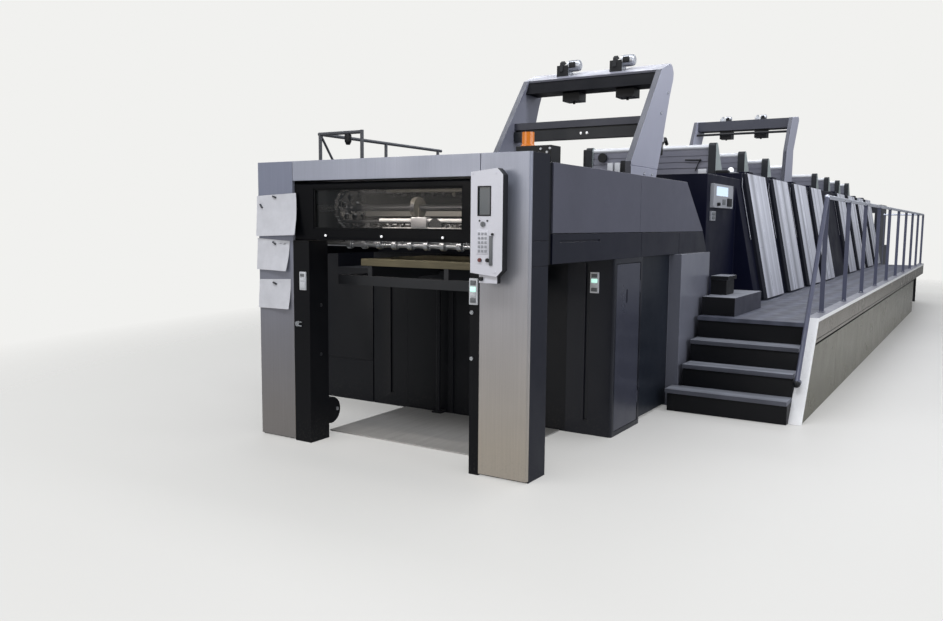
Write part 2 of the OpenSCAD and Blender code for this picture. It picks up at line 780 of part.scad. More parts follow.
module hoist_arch_rear() {
    color("#a8abb1") placed() both_sides()
        side_shape([[rear_leg_y + 20, unit_h], [rear_leg_y + 620, unit_h],
                    [rear_leg_y + 640, rear_arch_h - 600], [rear_leg_y + 1000, rear_arch_h - 60],
                    [rear_leg_y + 985, rear_arch_h - 20], [rear_leg_y + 940, rear_arch_h],
                    [rear_leg_y + 450, rear_arch_h - 60], [rear_leg_y + 120, rear_arch_h - 640]],
                   [rear_arch_x, rear_arch_x + leg_t]);
}

// A hoist motor of relative size k: its foot on the beam from z0 in front to z1 behind, the motor and the
// hook yoke
module hoist_motor(x, y, z0, z1, k) {
    side_shape([[y - 60, z0], [y + 60, z1], [y + 60, z1 + 75 * k], [y - 60, z1 + 75 * k]],
               [x - 90 * k, x + 50 * k]);
    bar_x([x + 30 * k, x + (30 + motor_l) * k], y, z1 + (motor_r + 12) * k, motor_r * k);
    side_shape([[y - 75, z1 + 6], [y - 55, z1 + 105 * k], [y - 20, z1 + 128 * k], [y + 30, z1 + 105 * k],
                [y - 20, z1 + 85 * k], [y - 40, z1 + 6]], [x - 55 * k, x - 15 * k]);
}

// Gear case of a hoist under its beam
module gear_case(x, y, under, height) {
    block([x, x + 200], [y - 90, y + 90], [under - height, under + 5]);
}

// Top of the front beam's cap at a place along the press
function cap_z(y) = arch_h - 100 + (y - flank_top_y - 400) * 100 / 270;

module hoist_beams() {
    color("#2d2f36") placed() {
        top_y = flank_top_y + 560;
        beam_z = arch_h - beam_drop;
        side_shape([[flank_top_y + 340, beam_z], [flank_top_y + 410, arch_h - 122],
                    [flank_top_y + 690, arch_h - 16], [flank_top_y + 730, arch_h - 70],
                    [flank_top_y + 640, beam_z]], [-arch_x, arch_x]);
        for (x = [-350, 275]) {
            hoist_motor(x, top_y, cap_z(top_y - 60), cap_z(top_y + 60), 1);
            gear_case(x, top_y, beam_z, 90);
        }
        bars_z = arch_h - bars_drop;
        block([-arch_x, arch_x], [bar_y, bar_y + 100], [bars_z - 198, bars_z - 95]);
        block([-arch_x, arch_x], [bar_y + 60, bar_y + 90], [bars_z - 96, bars_z - 72]);
        block([-arch_x, arch_x], [bar_y + 20, bar_y + 100], [bars_z - 73, bars_z]);
        block([-rear_arch_x, rear_arch_x], [rear_leg_y + 500, rear_leg_y + 800],
              [rear_arch_h - 220, rear_arch_h - 60]);
        for (x = [-400, 190]) {
            hoist_motor(x + 60, rear_leg_y + 620, rear_arch_h - 62, rear_arch_h - 62, 0.7);
            gear_case(x, rear_leg_y + 650, rear_arch_h - 220, 140);
        }
        bar_x([-rear_arch_x, rear_arch_x], rear_leg_y + 450, rear_arch_h - 290, 20);
    }
}

// Dark wedge that fills the space behind and between the slanted covers
module side_wedge(y) {
    front_shape([[unit_half - 1, gallery_h], [cover_x(gallery_h) - wedge_gap, gallery_h],
                 [unit_half, wedge_z], [unit_half - 1, wedge_z]], y);
}

module coating_unit() {
    color("#24262e") placed() {
        block([-unit_half, unit_half], [coater_y, units_y], [0, coater_h]);
        both_sides() side_wedge([units_y - front_wedge_l, units_y]);
    }
}

module unit_display() {
    color("#c9cacd") placed() {
        difference() {
            block([unit_half, unit_half + 40], [coater_y + 110, coater_y + 885],
                  [coater_h - 355, coater_h - 100]);
            block([unit_half + 36, unit_half + 41], [coater_y + 215, coater_y + 680],
                  [coater_h - 225, coater_h - 125]);
        }
        block([unit_half, unit_half + 22], [coater_y + 115, coater_y + 270],
              [coater_h - 495, coater_h - 393]);
    }
}

// A tower fin: upright in front, with a round head and a sloping back
module tower_fin(y) {
    side_shape([[y, unit_h - 20], [y + fin_l, unit_h - 20], [y + 1.8 * fin_r, unit_h + fin_h - fin_r * 0.4],
                [y + fin_r, unit_h + fin_h - fin_r], [y, unit_h + fin_h - fin_r]], [fin_x, fin_x + fin_t]);
    bar_x([fin_x, fin_x + fin_t], y + fin_r, unit_h + fin_h - fin_r, fin_r);
}

// One printing unit: its body, the dark wedges behind the covers and the tower fins, which unit 4 lacks
// where the rear arch stands
module printing_unit(y0, fins = true) {
    placed() {
        block([-unit_half, unit_half], [y0, y0 + unit_pitch], [0, unit_h]);
        both_sides() {
            side_wedge([y0, y0 + cover_start - cover_seam]);
            side_wedge([y0 + cover_start + cover_l + cover_seam, y0 + unit_pitch]);
            if (fins) tower_fin(y0 + fin_front);
            block([fin_x + fin_t + 60, unit_half - 100], [y0 + 760, y0 + 980], [unit_h - 20, unit_h + 60]);
        }
    }
}

module printing_unit_1() { color("#2b2d35") printing_unit(unit_y(0)); }
module printing_unit_2() { color("#2b2d35") printing_unit(unit_y(1)); }
module printing_unit_3() { color("#2b2d35") printing_unit(unit_y(2)); }
module printing_unit_4() { color("#2b2d35") printing_unit(unit_y(3), false); }
module printing_unit_5() { color("#2b2d35") printing_unit(unit_y(4)); }
module printing_unit_6() { color("#2b2d35") printing_unit(unit_y(5)); }
module printing_unit_7() { color("#2b2d35") printing_unit(unit_y(6)); }
module printing_unit_8() { color("#2b2d35") printing_unit(unit_y(7)); }

module perfecting_unit() {
    color("#2b2d35") placed() {
        block([-unit_half, unit_half], [perfecting_y, perfecting_y + perfecting_l], [0, unit_h]);
        both_sides() side_wedge([perfecting_y, perfecting_y + perfecting_l]);
        side_shape([[perfecting_y + 200, unit_h - 20], [perfecting_y + 1100, unit_h - 20],
                    [perfecting_y + 1020, unit_h + 90], [perfecting_y + 280, unit_h + 90]], [-fin_x, fin_x]);
    }
}

// One slanted cover: bevelled along both upright edges, with a joint line across its face
module slanted_cover(y0) {
    lean = atan(cover_lean);
    length = (unit_h - cover_z0) / cos(lean) + 200;
    joint_t = 4;
    difference() {
        intersection() {
            block([unit_half, unit_half + 2 * cover_out], [y0 - 10, y0 + cover_l + 10], [cover_z0, unit_h]);
            translate([cover_x(cover_z0), y0, cover_z0]) rotate([0, -lean, 0]) translate([0, 0, -100])
                linear_extrude(length)
                    polygon([[-800, 0], [-cover_bevel * 0.4, 0], [0, cover_bevel], [0, cover_l - cover_bevel],
                             [-cover_bevel * 0.4, cover_l], [-800, cover_l]]);
        }
        translate([cover_x(cover_joint_z), y0 - 1, cover_joint_z]) rotate([0, -lean, 0])
            block([-joint_t, 1], [0, cover_l + 2], [-joint_t / 2, joint_t / 2]);
    }
}

// Slim upright strip on the dark wedge in front of a cover
module wedge_strip(y0) {
    z0 = cover_joint_z + 100;
    z1 = unit_h - 60;
    front_shape([[cover_x(z0) - wedge_gap, z0], [cover_x(z0) - wedge_gap + 14, z0], [unit_half + 14, wedge_z],
                 [unit_half + 14, z1], [unit_half, z1], [unit_half, wedge_z]], [y0 - 110, y0 - 88]);
}

module unit_covers() {
    color("#a9abb4") placed() both_sides() for (i = [0:7]) {
        slanted_cover(unit_y(i) + cover_start);
        wedge_strip(unit_y(i) + cover_start);
    }
}

// Between the fins of each tower: four bands with dark grooves, a bright roller on top and its cover behind
module tower_stack(y0) {
    front = y0 + fin_front + 20;
    band = stack_h / 4;
    block([-fin_x, fin_x], [front + 20, front + 220], [unit_h, unit_h + stack_h + 2]);
    for (i = [0:3])
        block([-fin_x, fin_x], [front - 12 + 8 * i, front + 22],
              [unit_h + i * band + 5, unit_h + (i + 1) * band - 5]);
    bar_x([-fin_x, fin_x], front + 34, unit_h + stack_h + 30, 32);
    side_shape([[front + 34, unit_h + stack_h], [front + 34, unit_h + stack_h + 62],
                [front + 160, unit_h + stack_h + 50], [front + 200, unit_h + stack_h]], [-fin_x, fin_x]);
}

module unit_rollers() {
    color("#8e9196") placed() for (i = [0:7]) {
        tower_stack(unit_y(i));
        bar_x([-fin_x + 30, fin_x - 30], unit_y(i) + fin_front + 520, unit_h + 70, 45);
        for (x = [40 - fin_x, fin_x - 80])
            block([x, x + 40], [unit_y(i) + fin_front + 485, unit_y(i) + fin_front + 555],
                  [unit_h, unit_h + 70]);
    }
}

// Feeder: side frames with rounded upper corners, the sloped feed table with its rollers, the head's posts
module feeder_side() {
    difference() {
        block([feeder_half - 250, feeder_half], [feeder_y, press_end], [0, feeder_h]);
        difference() {
            block([feeder_half - 251, feeder_half + 1], [press_end - feeder_r, press_end + 1],
                  [feeder_h - feeder_r, feeder_h + 1]);
            bar_x([feeder_half - 252, feeder_half + 2], press_end - feeder_r, feeder_h - feeder_r, feeder_r);
        }
    }
    block([feeder_half - 250, feeder_half - 100], [head_y0, press_end - 200], [feeder_h - 10, head_z0]);
}

module feeder_frame() {
    color("#26282e") placed() {
        both_sides() feeder_side();
        side_shape([[feeder_y, 900], [feeder_y, feeder_h], [table_y1, feeder_h - 150],
                    [table_y1, feeder_h - 250]], [-feeder_half + 250, feeder_half - 250]);
        for (i = [0:3]) {
            t = (i + 0.5) / 4;
            bar_x([-feeder_half + 250, feeder_half - 250], feeder_y + t * (table_y1 - feeder_y),
                  feeder_h - 150 * t + 12, 22);
        }
    }
}

module feeder_head() {
    color("#1d1e22") placed() {
        block([-feeder_half + 100, feeder_half - 100], [head_y0, press_end - 200], [head_z0, head_h]);
        for (x = [-450, 0, 450])
            side_shape([[head_y0 + 100, head_z0 + 1], [head_y0 + 300, head_z0 + 1],
                        [head_y0 + 260, head_z0 - 260], [head_y0 + 140, head_z0 - 260]], [x - 60, x + 60]);
    }
}

module gallery_floors() {
    color("#686b70") placed() both_sides()
        translate([0, 0, gallery_h - gallery_t]) linear_extrude(gallery_t)
            polygon([[stair_in, stair_top_y], [kerb_in, stair_top_y], [kerb_in, gallery_end],
                     [unit_half, gallery_end], [unit_half, coater_y], [stair_in, coater_y]]);
}

// Kerb along the gallery's edge and down the stair's outer side
module gallery_kerbs() {
    color("#c3c5c8") placed() both_sides()
        side_shape([[kerb_foot_y, 0], [kerb_top_y, kerb_z], [gallery_end, kerb_z],
                    [gallery_end, kerb_z - kerb_t], [kerb_top_y + 26, kerb_z - kerb_t],
                    [kerb_foot_y + 46, 0]], [kerb_in, gallery_x]);
}

module gallery_skirts() {
    color("#77786f") placed() both_sides() difference() {
        side_shape([[kerb_foot_y + 46, 0], [kerb_top_y + 26, kerb_z - kerb_t], [gallery_end, kerb_z - kerb_t],
                    [gallery_end, groove_z], [end_bay_y, groove_z], [end_bay_y, 0]],
                   [gallery_x - 40, gallery_x - 6]);
        block([gallery_x - 20, gallery_x], [0, gallery_end + 1],
            [groove_z - groove_half, groove_z + groove_half]);
    }
}

// Railing: flat posts under a round handrail that runs down beside the stair, and a rail across the far end
module gallery_rails() {
    end_y = gallery_end - 50;
    color("#55606c") placed() both_sides() {
        for (i = [0:post_n - 1])
            block([rail_x - 22, rail_x + 22], [post_y + i * post_pitch - 8, post_y + i * post_pitch + 8],
                  [kerb_z, rail_z]);
        translate([rail_x, post_y, rail_z]) rotate([-90, 0, 0])
            cylinder(h = end_y - post_y, r = rail_r);
        translate([rail_x, post_y, rail_z]) sphere(r = rail_r + 4);
        slanted_rail();
        bar_x([end_rail_x - 25, rail_x], end_y - rail_r, rail_z, rail_r - 2);
        block([end_rail_x - 7, end_rail_x + 7], [end_y - 46, end_y + 4], [gallery_h, rail_z]);
    }
}

// The handrail's lower stretch beside the stair, turned in to the stringer at its foot
module slanted_rail() {
    run = post_y - foot_y;
    drop = rail_z - foot_z;
    translate([rail_x, post_y, rail_z]) rotate([90 + atan2(drop, run), 0, 0])
        cylinder(h = sqrt(run * run + drop * drop), r = rail_r);
    translate([rail_x, foot_y, foot_z]) sphere(r = rail_r + 4);
    difference() {
        translate([rail_x, foot_y, foot_z]) rotate([-90, 0, 0]) cylinder(h = 180, r = rail_r);
        side_shape([[kerb_foot_y, 0], [kerb_top_y, kerb_z], [kerb_top_y + 300, kerb_z],
                    [kerb_foot_y + 300, 0]], [kerb_in, gallery_x]);
    }
}

// Under the gallery: the stair's risers, the legs, and the end leg with its diagonal brace in the open bay
module gallery_supports() {
    color("#1d1f23") placed() both_sides() {
        side_shape([for (i = [0:rises - 1]) each
                        [[stair_y + nosing + i * going, max(0, i * rise - gallery_t)],
                         [stair_y + nosing + i * going, (i + 1) * rise - gallery_t]],
                    [stair_top_y + 300, gallery_h - gallery_t], [stair_top_y + 300, 0]], [stair_in, kerb_in]);
        for (y = [stair_top_y + 1500 : 2200 : end_bay_y])
            block([kerb_in - 100, kerb_in - 20], [y, y + 80], [0, gallery_h - gallery_t]);
        end_y = gallery_end - 120;
        block([kerb_in - 100, kerb_in - 20], [end_y, end_y + 80], [0, gallery_h - gallery_t]);
        side_shape([[end_y - 1050, gallery_h - gallery_t], [end_y - 980, gallery_h - gallery_t],
                    [end_y + 10, 90], [end_y + 10, 10]], [kerb_in - 90, kerb_in - 50]);
    }
}

module stair_treads() {
    color("#7c7f84") placed() both_sides() {
        for (i = [0:rises - 2])
            block([stair_in, kerb_in], [stair_y + i * going, stair_y + nosing + (i + 1) * going],
                  [(i + 1) * rise - gallery_t, (i + 1) * rise]);
        block([portal_half + 18, stair_in + 1], [stair_y, rear_cabinet_y - 10], [rise - gallery_t, rise]);
        upper_y = stair_top_y + 140;
        block([stair_in, stair_in + 325], [upper_y, upper_y + 1100], [gallery_h, gallery_h + upper_rise]);
        for (step = [[20, 0, 155], [0, 154, 195]])
            block([stair_in, stair_in + 180 - step[0]], [upper_y + 265 + step[0], upper_y + 600 - step[0]],
                  [gallery_h + upper_rise + step[1], gallery_h + upper_rise + step[2]]);
    }
}

delivery_frame();
front_panels();
window_guard();
guard_glass();
chain_shaft();
sheet_brake();
pile_carrier();
pile_board();
pile_floor_plate();
pile_rear_wall();
delivery_hood();
delivery_body();
side_cabinets();
cabinet_door();
lower_side_covers();
side_bands();
upper_side_panels();
control_panel();
beacon_box();
warning_beacon();
roof_rail();
hoist_arch_front();
hoist_arch_rear();
hoist_beams();
coating_unit();
unit_display();
printing_unit_1();
printing_unit_2();
printing_unit_3();
printing_unit_4();
perfecting_unit();
printing_unit_5();
printing_unit_6();
printing_unit_7();
printing_unit_8();
unit_covers();
unit_rollers();
feeder_frame();
feeder_head();
gallery_floors();
gallery_kerbs();
gallery_skirts();
gallery_rails();
gallery_supports();
stair_treads();
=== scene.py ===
"""Looks of the offset printing press: camera, soft studio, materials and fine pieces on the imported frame."""
import math

import bmesh
import bpy
from mathutils import Matrix, Vector


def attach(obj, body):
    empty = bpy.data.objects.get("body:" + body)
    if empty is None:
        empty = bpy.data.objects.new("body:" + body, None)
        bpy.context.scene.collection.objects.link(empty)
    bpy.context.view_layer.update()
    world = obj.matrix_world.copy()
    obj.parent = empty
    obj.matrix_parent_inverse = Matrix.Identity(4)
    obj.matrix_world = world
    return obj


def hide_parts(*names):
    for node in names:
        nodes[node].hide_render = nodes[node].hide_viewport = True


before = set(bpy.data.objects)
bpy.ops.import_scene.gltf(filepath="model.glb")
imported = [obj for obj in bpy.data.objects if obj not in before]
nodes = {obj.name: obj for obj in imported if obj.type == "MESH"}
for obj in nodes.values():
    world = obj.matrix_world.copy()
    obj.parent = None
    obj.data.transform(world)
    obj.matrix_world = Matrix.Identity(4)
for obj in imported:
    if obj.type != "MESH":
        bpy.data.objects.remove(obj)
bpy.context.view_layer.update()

# The pieces below are placed in metres: X across the press, Y back from the delivery's front face, Z up.
FRONT_Y = -10.236


def at(x, y, z):
    return Vector((x, y + FRONT_Y, z))


# Camera, fitted to the photo

YAW, PITCH, ROLL = (math.radians(a) for a in (-31.883, -5.984, 0.482))
CAMERA_PLACE = at(3.7714, -4.791, 1.7355)
FOCAL_MM, SENSOR_MM = 31.777, 36
forward = Vector((math.sin(YAW) * math.cos(PITCH), math.cos(YAW) * math.cos(PITCH), math.sin(PITCH)))
level = Vector((math.cos(YAW), -math.sin(YAW), 0))
upright = level.cross(forward)
right = math.cos(ROLL) * level + math.sin(ROLL) * upright
up = math.cos(ROLL) * upright - math.sin(ROLL) * level

lens = bpy.data.cameras.new("camera")
lens.lens = FOCAL_MM
lens.sensor_width = SENSOR_MM
lens.clip_end = 400
camera = bpy.data.objects.new("camera", lens)
turn = Matrix((right, up, -forward)).transposed().to_4x4()
camera.matrix_world = Matrix.Translation(CAMERA_PLACE) @ turn
bpy.context.scene.collection.objects.link(camera)
bpy.context.scene.camera = camera
bpy.context.scene.view_settings.view_transform = "Standard"


# Light: a pale room, soft panels overhead and soft fills from the front and from the operator side

def rgb(colour):
    """An sRGB hex colour as the linear values Blender works in."""
    parts = [int(colour[i:i + 2], 16) / 255 for i in (1, 3, 5)]
    return [p / 12.92 if p <= 0.04045 else ((p + 0.055) / 1.055) ** 2.4 for p in parts] + [1.0]


def add(tree, kind, links=(), **settings):
    """Adds one shader node; links gives its inputs a value or another node's output."""
    node = tree.nodes.new("ShaderNode" + kind)
    for field, value in settings.items():
        setattr(node, field, value)
    for socket, source in dict(links).items():
        if isinstance(source, bpy.types.NodeSocket):
            tree.links.new(source, node.inputs[socket])
        else:
            node.inputs[socket].default_value = source
    return node


def soft_lamp(name, place, aim, size, power, tint="#ffffff"):
    lamp = bpy.data.lights.new(name, "AREA")
    lamp.shape = "RECTANGLE"
    lamp.size, lamp.size_y = size
    lamp.energy = power
    lamp.color = rgb(tint)[:3]
    holder = bpy.data.objects.new(name, lamp)
    holder.location = place
    holder.rotation_mode = "QUATERNION"
    holder.rotation_quaternion = (aim - place).to_track_quat("-Z", "Y")
    bpy.context.scene.collection.objects.link(holder)


CEILING_Z = 6.2
for row in range(5):
    lamp_y = -3 + row * 6
    soft_lamp(f"ceiling_lamp_{row}", at(0, lamp_y, CEILING_Z), at(0, lamp_y, 0), (9, 1.4), 250, "#f8faff")
soft_lamp("front_fill", at(-3.5, -9, 3.4), at(0, 1, 1.1), (7, 4), 210, "#fffaf4")
soft_lamp("side_fill", at(11, 3, 4.2), at(1, 7, 1.2), (12, 4), 460, "#f6f8ff")
soft_lamp("drive_light", at(0, 0.14, 2.04), at(0, 0.6, 1.72), (1.3, 0.1), 11, "#fff6ee")

world = bpy.data.worlds.new("pale_room")
world.use_nodes = True
bpy.context.scene.world = world
sky = world.node_tree
sky.nodes.clear()
room_light = add(sky, "Background", {"Color": rgb("#e9edf2"), "Strength": 0.3})
backdrop = add(sky, "Background", {"Color": rgb("#f1f1ef"), "Strength": 1.0})
seen = add(sky, "LightPath").outputs["Is Camera Ray"]
both = add(sky, "MixShader", {0: seen, 1: room_light.outputs[0], 2: backdrop.outputs[0]})
add(sky, "OutputWorld", {"Surface": both.outputs[0]})


# Materials

def new_surface(name):
    surface = bpy.data.materials.new(name)
    surface.use_nodes = True
    surface.node_tree.nodes.clear()
    return surface, surface.node_tree


def noise(tree, where, scale, detail=4.0, stretch=None):
    if stretch:
        where = add(tree, "Mapping", {"Vector": where, "Scale": stretch}).outputs[0]
    return add(tree, "TexNoise", {"Vector": where, "Scale": scale, "Detail": detail}).outputs[0]


def spread(tree, source, low, high, start=0.3, end=0.7):
    """Takes a pattern's middle range to the values low to high."""
    links = {"Value": source, "From Min": start, "From Max": end, "To Min": low, "To Max": high}
    return add(tree, "MapRange", links).outputs[0]


def product(tree, a, b):
    return add(tree, "Math", {0: a, 1: b}, operation="MULTIPLY").outputs[0]


def finish(name, colour, rough, metal=0.0, cloud=0.06, grain=0.04, grain_mm=6, smudge=0.07, dust=0.12,
           foot=0.0, coat=0.0, wave=0.0, brush=None, brush_depth=0.1, brush_detail=3.0, shine=0.5, glow=None,
           low_colour=None):
    """A painted, plated or moulded surface. cloud: slow change of tone over about a metre; grain: fine
    speckle; smudge: change of gloss from wiping and hands; dust: pale film on what faces up; foot: scuffs
    near the floor; wave: the slight unevenness of sheet metal; brush: how far brush lines are squeezed
    along X, Y, Z; shine: how strongly the skin mirrors the room; low_colour: the colour it takes on towards
    the floor."""
    surface, tree = new_surface(name)
    where = add(tree, "TexCoord").outputs["Object"]
    tone = spread(tree, noise(tree, where, 1.1), 1 - cloud, 1 + cloud)
    speckle = spread(tree, noise(tree, where, 1000 / grain_mm, 2.0), 1 - grain, 1 + grain)
    tone = product(tree, tone, speckle)
    gloss = spread(tree, noise(tree, where, 3.7, 6.0), rough - smudge, rough + smudge)
    height = noise(tree, where, 1000 / grain_mm, 2.0)
    if brush:
        lines = noise(tree, where, 1.0, brush_detail, brush)
        tone = product(tree, tone, spread(tree, lines, 1 - brush_depth, 1 + brush_depth))
        gloss = product(tree, gloss, spread(tree, lines, 1 + brush_depth, 1 - brush_depth))
        height = lines
    base = rgb(colour)[:3]
    if low_colour:
        above = add(tree, "SeparateXYZ", {0: where}).outputs[2]
        base = add(tree, "Mix", {0: spread(tree, above, 0, 1, 0.2, 1.9), 6: rgb(low_colour), 7: rgb(colour)},
                   data_type="RGBA").outputs[2]
    paint = add(tree, "VectorMath", {0: base, "Scale": tone}, operation="SCALE").outputs[0]
    facing = add(tree, "SeparateXYZ", {0: add(tree, "NewGeometry").outputs["Normal"]}).outputs[2]
    settled = spread(tree, facing, 0, dust, 0.6, 1.0)
    film = product(tree, settled, spread(tree, noise(tree, where, 5.0), 0.5, 1.0))
    paint = add(tree, "Mix", {0: film, 6: paint, 7: rgb("#8d8b86")}, data_type="RGBA").outputs[2]
    if foot:
        low = add(tree, "SeparateXYZ", {0: where}).outputs[2]
        near = spread(tree, low, foot, 0, 0.0, 0.3)
        scuffs = product(tree, near, spread(tree, noise(tree, where, 60.0, 4.0), 0, 1, 0.52, 0.72))
        paint = add(tree, "Mix", {0: scuffs, 6: paint, 7: rgb("#77736b")}, data_type="RGBA").outputs[2]
    shader = add(tree, "BsdfPrincipled", {"Base Color": paint, "Roughness": gloss, "Metallic": metal,
                                          "Coat Weight": coat, "Coat Roughness": 0.12,
                                          "Specular IOR Level": shine})
    if glow:
        shader.inputs["Emission Color"].default_value = rgb(glow[0])
        shader.inputs["Emission Strength"].default_value = glow[1]
    bumped = add(tree, "Bump", {"Height": height, "Strength": 0.12, "Distance": 0.0006}).outputs[0]
    if wave:
        swell = noise(tree, where, 2.6, 1.0)
        links = {"Height": swell, "Normal": bumped, "Strength": 1.0, "Distance": wave}
        bumped = add(tree, "Bump", links).outputs[0]
    tree.links.new(bumped, shader.inputs["Normal"])
    add(tree, "OutputMaterial", {"Surface": shader.outputs[0]})
    return surface


# Powder coat: deep satin black whose gloss breaks up softly, with grey scuffs low down
powder_black = finish("powder_coated_steel_black", "#0d0e12", 0.42, foot=0.12, wave=0.0008, shine=0.18)
# Guard frame: smoother black, so the lamps draw a clean line along its rounded upper edge
guard_black = finish("satin_powder_coated_guard_black", "#08090d", 0.38, dust=0.02, shine=0.1)
# Front sheets: fine upright brush lines under lacquer make a soft metallic sheen that slides with the light
front_grey = finish("brushed_lacquered_steel_grey", "#a2a6b4", 0.4, 0.3, cloud=0.05, brush=(260, 260, 2.0),
                    brush_depth=0.05, coat=0.12, foot=0.2, wave=0.001, low_colour="#b6ada0")
# The drive side column: the same sheet, a little duller, with painted shade that makes it darker and cooler
front_grey_painted_shade = finish("brushed_lacquered_steel_painted_shade", "#878c9e", 0.44, 0.3, cloud=0.07,
                         brush=(260, 260, 2.0), brush_depth=0.05, foot=0.25, wave=0.001, low_colour="#8a8684")
# Portal sides: the same powder coat in navy
side_navy = finish("powder_coated_steel_navy", "#141724", 0.42, foot=0.12, wave=0.0008, shine=0.3)
# Sheets inside the bay: nearly black with a blue cast and a little more gloss
bay_black = finish("sprayed_steel_bay_black", "#111319", 0.38, foot=0.08, wave=0.0012, shine=0.3)
# Structured spray paint on the housing: dark, matt, with a visible fine grain
body_dark = finish("structured_paint_anthracite", "#1f212b", 0.5, grain=0.08, foot=0.15, shine=0.25,
                   dust=0.04)
# Cabinets and bands: satin blue grey sheet with slight waves that bend the reflections
cabinet_dark = finish("sprayed_sheet_blue_grey", "#1f2129", 0.34, cloud=0.08, foot=0.08, coat=0.12,
                      wave=0.002, shine=0.3)
door_grey = finish("sprayed_sheet_door_grey", "#393b47", 0.34, cloud=0.08, foot=0.08, coat=0.15, wave=0.002,
                   shine=0.4)
rear_grey = finish("sprayed_sheet_rear_grey", "#72747f", 0.36, cloud=0.08, foot=0.08, coat=0.15, wave=0.0015)
band_dark = finish("sprayed_sheet_midnight_blue", "#0e1122", 0.36, cloud=0.07, coat=0.1, wave=0.0015,
                   shine=0.25)
# Upper flank: lighter metallic grey with a soft cloudy sheen
flank_grey = finish("metallic_paint_slate", "#575866", 0.4, 0.2, cloud=0.08, coat=0.12, wave=0.0015)
# Recessed cover: deep blue black sheet with a soft gloss
cover_teal = finish("semi_gloss_sheet_black_blue", "#1b2029", 0.4, cloud=0.1, wave=0.003, shine=0.3)
# Moulded cover of the control panel: white with a fine texture that takes the shine off
panel_white = finish("moulded_plastic_white", "#e4e4ec", 0.42, cloud=0.02, grain=0.02, dust=0.02, smudge=0.1)
panel_grey = finish("moulded_plastic_pale_grey", "#a4a6ac", 0.45, cloud=0.03, grain=0.03)
box_black = finish("moulded_plastic_black", "#18191c", 0.5, grain=0.08, shine=0.35)
# Beacon lens: glossy orange plastic with a faint inner light
beacon_orange = finish("moulded_lens_orange", "#e0801f", 0.22, dust=0.0, coat=0.4, glow=("#e07a20", 0.2))
# Arch: pale lilac grey satin paint, a touch metallic; darker painted shade on front edges and inner faces
arch_edge = finish("satin_paint_lilac_grey_shaded", "#3c3e49", 0.42, 0.1, cloud=0.05, dust=0.0)
arch_inner_painted_shade = finish("satin_paint_lilac_grey_inner_shade", "#868897", 0.38, 0.15, cloud=0.12, wave=0.001, dust=0.0)
arch_grey = finish("satin_paint_lilac_grey", "#aeb0c0", 0.38, 0.15, cloud=0.05, wave=0.001, dust=0.0)
cap_pale = finish("satin_paint_pale_grey", "#8c8d98", 0.35, 0.1, cloud=0.03, dust=0.0)
beam_navy = finish("satin_paint_navy", "#090a10", 0.55, cloud=0.08, shine=0.08, dust=0.0)
# Units: matt dark navy with a visible grain; the tower fins in smooth satin paint
unit_dark = finish("structured_paint_dark_navy", "#0d1024", 0.45, cloud=0.1, grain=0.06, dust=0.02,
                   shine=0.15)
fin_green = finish("satin_paint_grey_green", "#9fa9a8", 0.4, cloud=0.06)
fin_dark = finish("satin_paint_graphite", "#24272c", 0.42, cloud=0.08, shine=0.35)
# Motors: cast aluminium, bright with a slightly grainy skin
motor_silver = finish("die_cast_aluminium", "#c2c5cb", 0.35, 0.7, cloud=0.06, grain=0.06)
# Unit covers: silver sheet, painted reflections of the lamps as upright streaks, brightest towards the top
cover_silver = finish("anodised_aluminium_sheet", "#dcdee8", 0.4, 0.15, cloud=0.04, grain=0.02,
                      brush=(0, 4.6, 0), brush_depth=0.5, brush_detail=1.6, wave=0.001, dust=0.0,
                      low_colour="#9d9faa")
# Painted lit and painted shaded copies of the cover sheet for its bevels, gap faces and strips
cover_light = finish("anodised_bevel_lit", "#d6d8e2", 0.3, 0.5, cloud=0.04, dust=0.0)
cover_shade = finish("anodised_bevel_shaded", "#1c1e28", 0.4, 0.2, cloud=0.05, dust=0.0, shine=0.3)
# Rollers: ground steel with fine lines round it, between slate painted side plates
roller_steel = finish("ground_steel", "#e6e8ec", 0.34, 0.2, brush=(3, 300, 300), brush_depth=0.08)
tower_slate = finish("satin_paint_tower_slate", "#7a7b87", 0.42, 0.2, cloud=0.06, dust=0.05)
# Chains, wheels and shafts behind the glass: bright steel with darker worn runs
chain_steel = finish("turned_steel_bright", "#c4c7cb", 0.24, 0.9, cloud=0.1, smudge=0.1, brush=(4, 220, 220))
link_steel = finish("blued_chain_link_steel", "#4a4c50", 0.35, 0.8, cloud=0.12, grain=0.1)
shaft_blued = finish("blued_shaft_steel", "#34363a", 0.42, 0.5, cloud=0.1)
brake_steel = finish("turned_steel_dull", "#a9acb0", 0.3, 0.85, cloud=0.12)
# Pile carrier: dark paint rubbed thin by use
carrier_grey = finish("rubbed_paint_dark_grey", "#2f3135", 0.42, 0.2, cloud=0.12, grain=0.1, shine=0.35)
# Floor plate: rolled steel, blotchy from use, with scratches along the press
floor_steel = finish("rolled_steel_plate_worn", "#bab8b4", 0.45, 0.2, cloud=0.1, grain=0.05,
                     brush=(30, 2.0, 30), brush_depth=0.06, smudge=0.08, dust=0.1)
# Railings: smooth enamel, worn to bright metal where hands run along the top
rail_slate = finish("enamelled_steel_slate", "#54576a", 0.36, cloud=0.07, dust=0.0)
rail_bright = finish("handrail_steel_rubbed", "#ccd0dc", 0.3, 0.6, cloud=0.08)
roof_rail_dark = finish("enamelled_steel_dark_grey", "#505257", 0.4, cloud=0.07)
